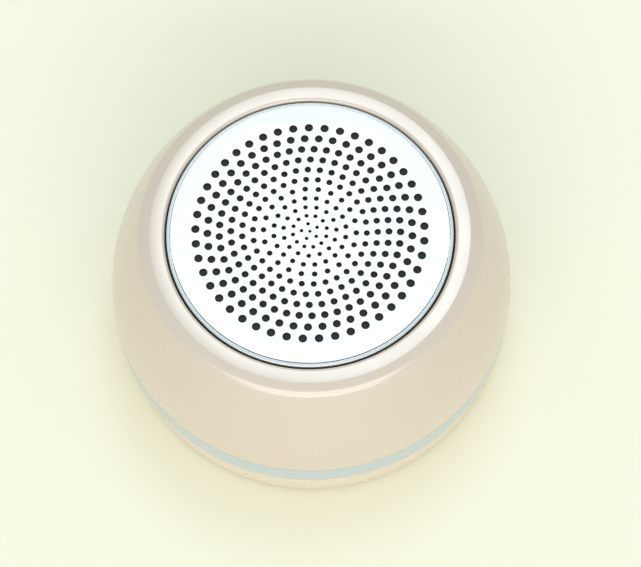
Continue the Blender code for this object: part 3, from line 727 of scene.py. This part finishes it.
def pressed_metal(name, colour, roughness, metallic=1.0):
    """Plated or pressed sheet metal with fine turned marks."""
    finish = Finish(name, colour, roughness, metallic)
    finish.drift(scale=100.0, amount=0.05)
    finish.uneven_gloss(roughness * 0.8, roughness * 1.25, scale=180.0)
    return finish.turned_lines(pitch_mm=0.25, depth_mm=0.003).material


def ferrite():
    """Sintered dark magnet with small pits."""
    finish = Finish("ferrite", (0.07, 0.07, 0.072), roughness=0.7)
    finish.drift(scale=300.0, amount=0.3).uneven_gloss(0.55, 0.85)
    return finish.grain(scale=1200.0, depth_mm=0.03, detail=6.0).material


def copper_winding():
    """Turns of enamelled wire, one above the other."""
    finish = Finish("copper_winding", (0.72, 0.36, 0.18), roughness=0.35, metallic=1.0)
    turns = finish.wave(0.18, "Z")
    finish.tint(turns, (0.35, 0.14, 0.06), (0.80, 0.42, 0.22), from_low=0.1, from_high=0.7)
    return finish.relief(turns, depth_mm=0.05).uneven_gloss(0.28, 0.45).material


def paper_pulp():
    """Pressed black pulp with fibres."""
    finish = Finish("paper_pulp", (0.045, 0.045, 0.045), roughness=0.85)
    finish.drift(scale=500.0, amount=0.3).uneven_gloss(0.75, 0.95, scale=300.0)
    fibres = finish.noise(700.0, detail=8.0, stretch=(1.0, 3.0, 1.0))
    return finish.relief(fibres, depth_mm=0.05).material


def spider_cloth():
    """Resin-stiffened woven cloth."""
    finish = Finish("spider_cloth", (0.62, 0.45, 0.18), roughness=0.8)
    return finish.weave(0.5, 0.06, dark=(0.40, 0.27, 0.09), light=(0.68, 0.50, 0.22)).material


def board_fibre():
    """Brown laminate of the tag board."""
    finish = Finish("tag_laminate", (0.35, 0.20, 0.08), roughness=0.6)
    finish.drift(scale=900.0, amount=0.15)
    layers = finish.noise(400.0, detail=5.0, stretch=(1.0, 1.0, 12.0))
    return finish.relief(layers, depth_mm=0.01).material


def pale_nylon():
    """White moulded nylon."""
    finish = Finish("white_nylon", (0.82, 0.82, 0.79), roughness=0.45)
    finish.drift(scale=150.0, amount=0.02).uneven_gloss(0.38, 0.52)
    finish.grain(scale=1600.0, depth_mm=0.006)
    return finish.set(Subsurface_Weight=0.1, Subsurface_Scale=0.001).material


def ribbon_film():
    """Amber film with copper tracks inside."""
    finish = Finish("ribbon_film", (0.55, 0.30, 0.08), roughness=0.3)
    tracks = finish.wave(0.6, "X")
    finish.tint(tracks, (0.45, 0.20, 0.04), (0.66, 0.40, 0.13), from_low=0.45, from_high=0.55)
    return finish.uneven_gloss(0.22, 0.36).set(Coat_Weight=0.3).material


def wire_skin(name, colour):
    """Soft insulation on a lead."""
    finish = Finish(name, colour, roughness=0.4)
    finish.drift(scale=300.0, amount=0.1).uneven_gloss(0.32, 0.5, scale=400.0)
    return finish.grain(scale=2500.0, depth_mm=0.006).material


def pale_floor():
    """Plain pale floor with a yellow-green cast."""
    finish = Finish("pale_floor", FLOOR_COLOUR, roughness=0.75)
    finish.drift(scale=3.0, amount=0.01).uneven_gloss(0.7, 0.8, scale=20.0)
    return finish.grain(scale=800.0, depth_mm=0.004).material


# ================= visible pieces =================
def dress(piece, material, body, slot, *nodes):
    """Give a piece its material, hang it on its body's empty, and hide the CAD nodes it stands
    for.

    A piece that spans two bodies gets None for its body, and is left without a parent.
    """
    piece.data.materials.clear()
    piece.data.materials.append(material)
    if body is not None:
        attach(piece, body)
    if nodes:
        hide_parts(*nodes)


def hole_ring_radius(ring):
    """Rings stand a little further apart towards the edge."""
    return RING_PITCH * ring + RING_PITCH_GROWTH * ring**2 - RING_PITCH_SLOWING * ring**3


def hole_radius(ring):
    """Holes grow evenly from the centre to the edge."""
    return (HOLE_MIDDLE_D + HOLE_GROWTH * ring) / 2


def hole_ring_start(ring):
    """Each ring is turned back a little more than the last."""
    return RING_START_DEGREES - RING_TURN_DEGREES * ring - RING_TURN_GROWTH * ring**2


def add_loop(curve, centre, radius, sides, start=0.0):
    """A closed round outline in a flat curve."""
    loop = curve.splines.new("POLY")
    loop.points.add(sides - 1)
    for point, angle in zip(loop.points, ring_angles(sides, start)):
        spot = centre + polar(radius, angle)
        point.co = (spot.x * MM, spot.y * MM, 0.0, 1.0)
    loop.use_cyclic_u = True


def make_grille_disc():
    """Perforated disc: every hole and the rim have a soft edge."""
    thick = TOP_Z - DISC_UNDER_Z
    outline = bpy.data.curves.new("disc_outline", "CURVE")
    outline.dimensions = "2D"
    outline.fill_mode = "BOTH"
    outline.extrude = (thick / 2 - HOLE_EDGE) * MM
    outline.bevel_depth = HOLE_EDGE * MM
    outline.bevel_resolution = 1
    outline.offset = -HOLE_EDGE * MM
    add_loop(outline, Vector(), DISC_R, FINE_STEPS)
    for ring, count in enumerate(HOLES_IN_RING):
        for angle in ring_angles(count, hole_ring_start(ring)):
            centre = polar(hole_ring_radius(ring), angle)
            add_loop(outline, centre, hole_radius(ring), HOLE_SIDES, angle)
    piece = add_object("perforated_disc", outline)
    piece.location.z = (TOP_Z + DISC_UNDER_Z) / 2 * MM
    piece = settle(piece, DISC_CRISP_DEGREES)
    dress(piece, white_disc(), "housing", "white_disc", "grille_disc")


def make_grille_cloth():
    """Thin round of cloth right under the disc."""
    outline = [
        (0.0, CLOTH_HIGH_Z),
        (CLOTH_R, CLOTH_HIGH_Z),
        (CLOTH_R, CLOTH_LOW_Z),
        (0.0, CLOTH_LOW_Z),
    ]
    piece = settle(lathe("acoustic_cloth", outline, PLAIN_STEPS))
    dress(piece, dark_cloth(), "housing", "black_cloth", "grille_cloth")


def make_trim_ring():
    """Polished ring: a crest beside the disc's edge, then a bevel down to the groove."""
    outline = rounded([
        (TRIM_INNER_R - TRIM_REACH, TOP_Z - TRIM_REACH_DROP, TRIM_REACH_ROUND),
        (TRIM_INNER_R + TRIM_CREST, TOP_Z - TRIM_CREST_DROP, TRIM_CREST_ROUND),
        (TRIM_OUTER_R - TRIM_SHOULDER, TOP_Z - TRIM_SHOULDER_DROP, TRIM_ROUND),
        (TRIM_OUTER_R, TOP_Z - TRIM_SIDE_DROP, TRIM_ROUND),
        (TRIM_OUTER_R, TRIM_LOW_Z, LEDGE_ROUND),
        (LEDGE_INNER_R, TRIM_LOW_Z, LEDGE_ROUND),
        (LEDGE_INNER_R, LEDGE_Z, LEDGE_ROUND),
        (TRIM_INNER_R - TRIM_REACH, LEDGE_Z, 0.0),
    ])
    piece = settle(lathe("polished_ring", outline), SOFT_CRISP_DEGREES)
    dress(piece, polished_trim(), "housing", "polished_trim", "trim_ring")


def make_rim_gasket():
    """Dark foam that fills the bottom of the groove; its dark colour also stands in as painted
    shade at the bottom of the gap.
    """
    outline = [
        (TRIM_OUTER_R + GASKET_GAP, GASKET_HIGH_Z),
        (LIP_INNER_R - GASKET_GAP, GASKET_HIGH_Z),
        (LIP_INNER_R - GASKET_GAP, GASKET_LOW_Z),
        (TRIM_OUTER_R + GASKET_GAP, GASKET_LOW_Z),
    ]
    piece = settle(lathe("groove_foam", outline))
    dress(piece, dark_foam(), "housing", "dark_foam", "rim_gasket")


def key_place(number):
    """Where a key sits: on the body's side, its own Z axis pointing out at right angles to it."""
    share = 0.5
    for _ in range(KEY_SEARCH_STEPS):
        share += (side_point(share)[1] - KEY_Z) / KEY_SEARCH_STRIDE
    radius, z = side_point(share)
    inner_radius, inner_z = side_point(share, 1.0)
    tilt = math.atan2(z - inner_z, radius - inner_radius)
    angle = 90.0 + (number - (len(KEYS) - 1) / 2) * KEY_STEP_DEGREES
    turn = Matrix.Rotation(math.radians(angle), 4, "Z")
    lean = Matrix.Rotation(math.pi / 2 - tilt, 4, "Y")
    return turn @ Matrix.Translation((radius * MM, 0.0, z * MM)) @ lean


def key_hole_cutter(number):
    """Cutter for one key's hole, flared where it leaves the surface."""
    outline = [
        (0.0, KEY_HOLE_HIGH),
        (KEY_HOLE_R + KEY_HOLE_FLARE, KEY_HOLE_HIGH),
        (KEY_HOLE_R, KEY_HOLE_NECK),
        (KEY_HOLE_R, KEY_HOLE_LOW),
        (0.0, KEY_HOLE_LOW),
    ]
    cutter = lathe(f"key_hole_{number}", outline, SMALL_STEPS)
    cutter.matrix_world = key_place(number)
    return cutter


def make_upper_shell(beige):
    """The body: lip with a soft bevel, widening side, holes for the keys."""
    outline = [(LIP_INNER_R, LIP_UNDER_Z)]
    lip_centre = (LIP_INNER_R + LIP_ROUND, TOP_Z - LIP_ROUND)
    outline += arc(lip_centre, LIP_ROUND, 180.0, 90.0, LIP_STEPS)
    outline += rounded([(*outline[-1], 0.0), (*CREASE, CREASE_ROUND), (*BEVEL_END, 0.0)])[1:-1]
    outline += bend_points(BEND_STEPS)
    outline += [side_point(number / SIDE_STEPS) for number in range(1, SIDE_STEPS)]
    edge_r, edge_z = SIDE_END
    outline += [
        (edge_r, edge_z + SEAM_EDGE),
        (edge_r - SEAM_EDGE_FAR, edge_z + SEAM_EDGE_NEAR),
        (edge_r - SEAM_EDGE, edge_z),
    ]
    steps = SIDE_INNER_STEPS
    outline += [side_point(number / steps, WALL) for number in range(steps, 0, -1)]
    outline += [(LIP_UNDER_R, LIP_UNDER_Z)]
    shell = lathe("upper_shell_skin", outline)
    cutters = [key_hole_cutter(number) for number in range(len(KEYS))]
    shell = cut(shell, cutters)
    dress(shell, beige, "housing", "beige_plastic", "upper_shell")


def make_light_ring():
    """Milky band, its edges just shy of the shells'."""
    top = SHELL_BOTTOM_Z - SEAM
    bottom = BASE_TOP[1] + SEAM
    outline = rounded([
        (TONGUE_OUTER_R, top, 0.0),
        (BAND_TOP_R, top, BAND_ROUND),
        (BAND_TOP_R + BAND_FLARE, bottom, BAND_ROUND),
        (TONGUE_OUTER_R, bottom, 0.0),
        (TONGUE_OUTER_R, TONGUE_LOW_Z, BAND_ROUND),
        (TONGUE_INNER_R, TONGUE_LOW_Z, BAND_ROUND),
        (TONGUE_INNER_R, TONGUE_HIGH_Z, BAND_ROUND),
        (TONGUE_OUTER_R, TONGUE_HIGH_Z, BAND_ROUND),
    ])
    piece = settle(lathe("light_band", outline))
    dress(piece, light_band(), "housing", "light_band", "light_ring")


def socket_place():
    """The socket's own frame: its Z axis runs in from the back, its X axis across the speaker."""
    lift = Matrix.Translation((0.0, 0.0, SOCKET_Z * MM))
    return lift @ Matrix.Rotation(math.pi / 2, 4, "X")


def make_base_shell(beige):
    """The base: a shallow cup with the socket's slot, and a seat for the foot."""
    outline = [(0.0, BASE_FLOOR_Z), (BASE_FLOOR_R, BASE_FLOOR_Z)]
    steps = BASE_INNER_STEPS
    outline += [base_point(number / steps, WALL) for number in range(steps - 1, -1, -1)]
    edge_r, edge_z = BASE_TOP
    outline += [
        (edge_r - SEAM_EDGE, edge_z),
        (edge_r - SEAM_EDGE_NEAR, edge_z - SEAM_EDGE_FAR),
        (edge_r, edge_z - SEAM_EDGE),
    ]
    outline += [base_point(number / BASE_STEPS) for number in range(1, BASE_STEPS)]
    seat_z = BASE_UNDER_Z + FOOT_SEAT_DEPTH
    under = rounded([
        (*outline[-1], 0.0),
        (*BASE_LOW, BASE_EDGE_ROUND),
        (BASE_EDGE_R, BASE_UNDER_Z, BASE_EDGE_ROUND),
        (FOOT_OUTER_R + FOOT_GAP, BASE_UNDER_Z, FOOT_SEAT_ROUND),
        (FOOT_OUTER_R + FOOT_GAP, seat_z, 0.0),
        (FOOT_INNER_R - FOOT_GAP, seat_z, 0.0),
        (FOOT_INNER_R - FOOT_GAP, BASE_UNDER_Z, FOOT_SEAT_ROUND),
        (0.0, BASE_UNDER_Z, 0.0),
    ])
    shell = lathe("base_shell_skin", outline + under[1:])
    place = socket_place()
    slot = stadium("slot_cutter", SLOT_WIDTH, SLOT_HEIGHT, SLOT_CUT, place)
    flare = stadium("flare_cutter", SLOT_WIDTH, SLOT_HEIGHT, SLOT_FLARE_CUT, place, SLOT_FLARE)
    shell = cut(shell, [slot, flare])
    dress(shell, beige, "housing", "beige_plastic", "base_shell")


def make_foot_ring():
    """Rubber ring with fine grooves underneath."""
    width = FOOT_OUTER_R - FOOT_INNER_R
    corners = [
        (FOOT_INNER_R, FOOT_HIGH_Z, FOOT_TOP_ROUND),
        (FOOT_OUTER_R, FOOT_HIGH_Z, FOOT_TOP_ROUND),
        (FOOT_OUTER_R, 0.0, FOOT_SOLE_ROUND),
    ]
    for number in range(TREAD_GROOVES):
        centre = FOOT_OUTER_R - width * (number + 1) / (TREAD_GROOVES + 1)
        corners += [
            (centre + TREAD_HALF_WIDTH, 0.0, 0.0),
            (centre, TREAD_DEPTH, 0.0),
            (centre - TREAD_HALF_WIDTH, 0.0, 0.0),
        ]
    corners += [(FOOT_INNER_R, 0.0, FOOT_SOLE_ROUND)]
    piece = settle(lathe("rubber_foot", rounded(corners)))
    dress(piece, rubber("foot_rubber", 0.05), "housing", "dark_rubber", "foot_ring")


def mark_bar(name, low, high):
    """One raised bar of a key's mark."""
    return block(name, (*low, KEY_PROUD - MARK_SUNK), (*high, KEY_PROUD + MARK_PROUD))


def mark_ring(name, gap_degrees):
    """A raised ring, open at the top over the given angle."""
    inner, outer = MARK_RING_INNER, MARK_RING_OUTER
    outline = [
        (inner, KEY_PROUD + MARK_PROUD),
        (outer, KEY_PROUD + MARK_PROUD),
        (outer, KEY_PROUD - MARK_SUNK),
        (inner, KEY_PROUD - MARK_SUNK),
    ]
    ring = lathe(name, outline, SMALL_STEPS)
    if gap_degrees:
        half = outer * math.tan(math.radians(gap_degrees / 2))
        low = (-outer - 1.0, -half, KEY_PROUD - 1.0)
        wedge = block(f"{name}_gap", low, (0.0, half, KEY_PROUD + 1.0))
        return cut(ring, [wedge])
    return settle(ring)


def key_marks(name):
    """The pieces of a key's generic mark. On a key, its own -X points up the body."""
    line, reach, dot = MARK_HALF_LINE, MARK_REACH, MARK_DOT
    if name == "volume_up_key":
        across = mark_bar("plus_a", (-line, -reach), (line, reach))
        return [across, mark_bar("plus_b", (-reach, -line), (reach, line))]
    if name == "volume_down_key":
        return [mark_bar("minus", (-line, -reach), (line, reach))]
    if name == "mute_key":
        return [mark_ring("mute_ring", 0.0), mark_bar("mute_dot", (-dot, -dot), (dot, dot))]
    ring = mark_ring("power_ring", POWER_GAP_DEGREES)
    low = (-POWER_BAR_TOP, -POWER_BAR_HALF_LINE)
    return [ring, mark_bar("power_bar", low, (-POWER_BAR_BOTTOM, POWER_BAR_HALF_LINE))]


def dish_point(share):
    """A point of a key's dished top: share 0 is its middle, share 1 is the dish's rim."""
    return (KEY_R * KEY_DISH_SHARE * share, KEY_PROUD - KEY_DISH + KEY_DISH * share**2)


def make_keys():
    """Round keys with a dished top, a soft rim and a raised mark."""
    beige = beige_plastic("key_plastic", KEY_COLOUR)
    mark_colour = beige_plastic("key_mark", MARK_COLOUR)
    top = [dish_point(number / KEY_DISH_STEPS) for number in range(KEY_DISH_STEPS + 1)]
    side = rounded([
        (*top[-1], 0.0),
        (KEY_R, KEY_PROUD, KEY_RIM_ROUND),
        (KEY_R, KEY_FLANGE_HIGH, 0.0),
        (KEY_FLANGE_R, KEY_FLANGE_HIGH, KEY_ROUND),
        (KEY_FLANGE_R, KEY_FLANGE_LOW, KEY_ROUND),
        (KEY_STEM_R, KEY_FLANGE_LOW, 0.0),
        (KEY_STEM_R, KEY_STEM_LOW, KEY_ROUND),
        (0.0, KEY_STEM_LOW, 0.0),
    ])
    for number, name in enumerate(KEYS):
        cap = settle(lathe(f"{name}_cap", top + side[1:], SMALL_STEPS))
        cap.matrix_world = key_place(number)
        dress(cap, beige, f"{name}_body", "key_plastic", name)
        for mark in key_marks(name):
            mark.matrix_world = key_place(number)
            mark.name = f"{name}_{mark.name}"
            dress(mark, mark_colour, f"{name}_body", "key_plastic")


def make_usb_socket(tinned):
    """Power socket with a tongue, and contacts on both sides of the tongue."""
    place = socket_place()
    shell = stadium("socket_shell", SOCKET_WIDTH, SOCKET_HEIGHT, SOCKET_DEPTHS, place)
    mouth = stadium("mouth_cutter", MOUTH_WIDTH, MOUTH_HEIGHT, MOUTH_CUT, place)
    shell = cut(shell, [mouth])
    dress(shell, tinned, "housing", "tinned_steel", "usb_socket")
    low = (-SOCKET_TONGUE_HALF_WIDTH, -SOCKET_TONGUE_HALF_HEIGHT, SOCKET_TONGUE_DEPTHS[0])
    high = (SOCKET_TONGUE_HALF_WIDTH, SOCKET_TONGUE_HALF_HEIGHT, SOCKET_TONGUE_DEPTHS[1])
    tongue = block("socket_tongue", low, high, place)
    dress(tongue, dark_plastic("tongue_plastic", 0.02), "housing", "black_plastic")
    gold = pressed_metal("contact_gold", (0.85, 0.62, 0.28), roughness=0.25)
    for number in range(CONTACTS_PER_SIDE):
        x = CONTACT_FIRST + CONTACT_PITCH * number
        for side in (-1, 1):
            low_y, high_y = sorted(side * height for height in CONTACT_HEIGHTS)
            low = (x - CONTACT_HALF_WIDTH, low_y, CONTACT_DEPTHS[0])
            high = (x + CONTACT_HALF_WIDTH, high_y, CONTACT_DEPTHS[1])
            name = f"contact_{number}_{'upper' if side > 0 else 'lower'}"
            contact = block(name, low, high, place)
            dress(contact, gold, "housing", "tinned_steel")


def make_cone():
    """Pressed paper cone with faint ribs, and the dust cap glued on it."""
    reach, rise = CONE_EDGE_R - CONE_NECK_R, CONE_RIM_Z - CONE_NECK_Z
    path = []
    for number in range(CONE_STEPS + 1):
        share = number / CONE_STEPS
        rib = CONE_RIB_HEIGHT * math.sin(2 * math.pi * CONE_RIBS * share)
        path.append((CONE_NECK_R + reach * share, CONE_NECK_Z + rise * share**CONE_FLARE + rib))
    path.append((CONE_RIM_R, CONE_RIM_Z))
    cone = settle(lathe("paper_cone", sheet(path, PAPER_THICK)))
    dress(cone, paper_pulp(), "cone_assembly", "black_paper", "cone")
    shares = [number / DOME_STEPS for number in range(DOME_STEPS + 1)]
    dome = [(DOME_R * share, DOME_TOP_Z - DOME_DROP * share**2) for share in shares]
    cap = settle(lathe("dust_dome", sheet(dome, PAPER_THICK), PLAIN_STEPS))
    dress(cap, paper_pulp(), "cone_assembly", "black_paper", "dust_cap")


def hang(name, path, thick, material, slot, node):
    """A thin turned sheet that spans from the cone, at its low end, to the basket; it rides on no
    body and its place is baked into its mesh.
    """
    piece = settle(lathe(name, sheet(path, thick)), SOFT_CRISP_DEGREES)
    dress(piece, material, None, slot, node)
    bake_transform(piece)


def make_surround():
    """Rubber half roll round the cone."""
    low, high = SURROUND_INNER_Z, SURROUND_RIM_Z
    path = [(SURROUND_START_R, low)]
    for number in range(CONE_STEPS + 1):
        share = number / CONE_STEPS
        lift = SURROUND_LIFT * math.sin(math.pi * share)
        radius = SURROUND_INNER_R + SURROUND_WIDTH * share
        path.append((radius, low + (high - low) * share + lift))
    path.append((SURROUND_END_R, high))
    material = rubber("surround_rubber", 0.035)
    hang("rubber_roll", path, SURROUND_THICK, material, "soft_rubber", "surround")


def make_spider():
    """Corrugated cloth round the cone's neck."""
    low, high = SPIDER_NECK_Z, SPIDER_RIM_Z
    path = [(SPIDER_START_R, low)]
    for number in range(SPIDER_STEPS + 1):
        share = number / SPIDER_STEPS
        wave = SPIDER_WAVE_HEIGHT * math.sin(2 * math.pi * SPIDER_WAVES * share)
        radius = SPIDER_INNER_R + SPIDER_WIDTH * share
        path.append((radius, low + (high - low) * share + wave))
    path.append((SPIDER_END_R, high))
    hang("corrugated_cloth", path, SPIDER_THICK, spider_cloth(), "spider_cloth", "spider")


# ================= inner pieces whose shapes stay as the CAD has them =================
def dress_inner_nodes(tinned):
    """Give every carried-over CAD node its finish."""
    black_steel = pressed_metal("black_steel", (0.06, 0.06, 0.065), roughness=0.45, metallic=0.6)
    finishes = {
        "circuit_board": circuit_board(),
        "black_plastic": dark_plastic("inner_plastic", 0.03),
        "zinc_steel": pressed_metal("zinc_steel", (0.55, 0.56, 0.58), roughness=0.35),
        "black_steel": black_steel,
        "ferrite": ferrite(),
        "copper_coil": copper_winding(),
        "tag_board": board_fibre(),
        "white_plastic": pale_nylon(),
        "ribbon_film": ribbon_film(),
        "red_wire": wire_skin("red_insulation", (0.60, 0.04, 0.03)),
        "black_wire": wire_skin("black_insulation", (0.02, 0.02, 0.02)),
        "tinned_steel": tinned,
        "can_aluminium": pressed_metal("can_aluminium", (0.75, 0.76, 0.78), roughness=0.3),
        "screw_steel": pressed_metal("screw_steel", (0.45, 0.45, 0.46), roughness=0.35),
        "dark_foam": dark_foam(),
    }
    for part in frame["record"]["subparts"]:
        node = frame["nodes"][part["node"]]
        if node.hide_render:
            continue
        node.data.materials.clear()
        node.data.materials.append(finishes[part["material_slot"]])


# ================= stage =================
def make_floor():
    """Plain pale floor."""
    shape = bmesh.new()
    bmesh.ops.create_grid(shape, x_segments=1, y_segments=1, size=FLOOR_HALF)
    mesh = bpy.data.meshes.new("floor")
    shape.to_mesh(mesh)
    shape.free()
    floor = add_object("floor", mesh)
    floor.location.z = FLOOR_Z
    floor.data.materials.append(pale_floor())


def add_light(name, azimuth, elevation, distance, width, height, power, colour):
    """A soft light aimed at the speaker. Azimuth 0 is in front of it, 90 on its +X side."""
    lamp = bpy.data.lights.new(name, "AREA")
    lamp.shape = "RECTANGLE"
    lamp.size = width
    lamp.size_y = height
    lamp.energy = power
    lamp.color = colour
    turn, lift = math.radians(azimuth), math.radians(elevation)
    flat = math.cos(lift)
    way = Vector((math.sin(turn) * flat, -math.cos(turn) * flat, math.sin(lift)))
    light = add_object(name, lamp)
    light.location = LIGHT_AIM + way * distance
    light.rotation_euler = (-way).to_track_quat("-Z", "Y").to_euler()


def make_lights():
    """Two wide soft lights in front, two small ones high behind, and an even, cool room."""
    for values in LIGHTS:
        add_light(*values)
    world = bpy.data.worlds.new("dim_room")
    world.use_nodes = True
    background = world.node_tree.nodes["Background"]
    background.inputs["Color"].default_value = ROOM_COLOUR
    background.inputs["Strength"].default_value = 1.0
    bpy.context.scene.world = world


def make_camera():
    """Camera high above the front edge, with a long lens, rolled a little."""
    elevation = math.radians(CAMERA_ELEVATION)
    roll = math.radians(CAMERA_ROLL)
    ahead = Vector((0.0, math.cos(elevation), -math.sin(elevation)))
    right = Vector((1.0, 0.0, 0.0))
    up = right.cross(ahead)
    tipped_right = right * math.cos(roll) + up * math.sin(roll)
    tipped_up = up * math.cos(roll) - right * math.sin(roll)
    camera_data = bpy.data.cameras.new("camera")
    camera_data.lens = CAMERA_LENS_MM
    camera_data.sensor_width = CAMERA_SENSOR_MM
    camera_data.clip_start = CAMERA_CLIP_START
    camera = add_object("camera", camera_data)
    turn = Matrix((tipped_right, tipped_up, -ahead)).transposed().to_4x4()
    camera.matrix_world = Matrix.Translation(CAMERA_AIM - ahead * CAMERA_DISTANCE) @ turn
    bpy.context.scene.camera = camera


make_camera()
make_lights()
make_floor()
beige = beige_plastic("beige_plastic", BEIGE_COLOUR)
# painted light: a lighter copy of the shell's beige for the base
base_beige_painted_light = beige_plastic("base_beige_painted_light", BASE_COLOUR_WITH_PAINTED_LIGHT)
tinned = pressed_metal("tinned_steel", (0.70, 0.71, 0.72), roughness=0.3)
make_grille_disc()
make_grille_cloth()
make_trim_ring()
make_rim_gasket()
make_upper_shell(beige)
make_light_ring()
make_base_shell(base_beige_painted_light)
make_foot_ring()
make_keys()
make_usb_socket(tinned)
make_cone()
make_surround()
make_spider()
dress_inner_nodes(tinned)

bpy.context.scene.view_settings.view_transform = "Standard"
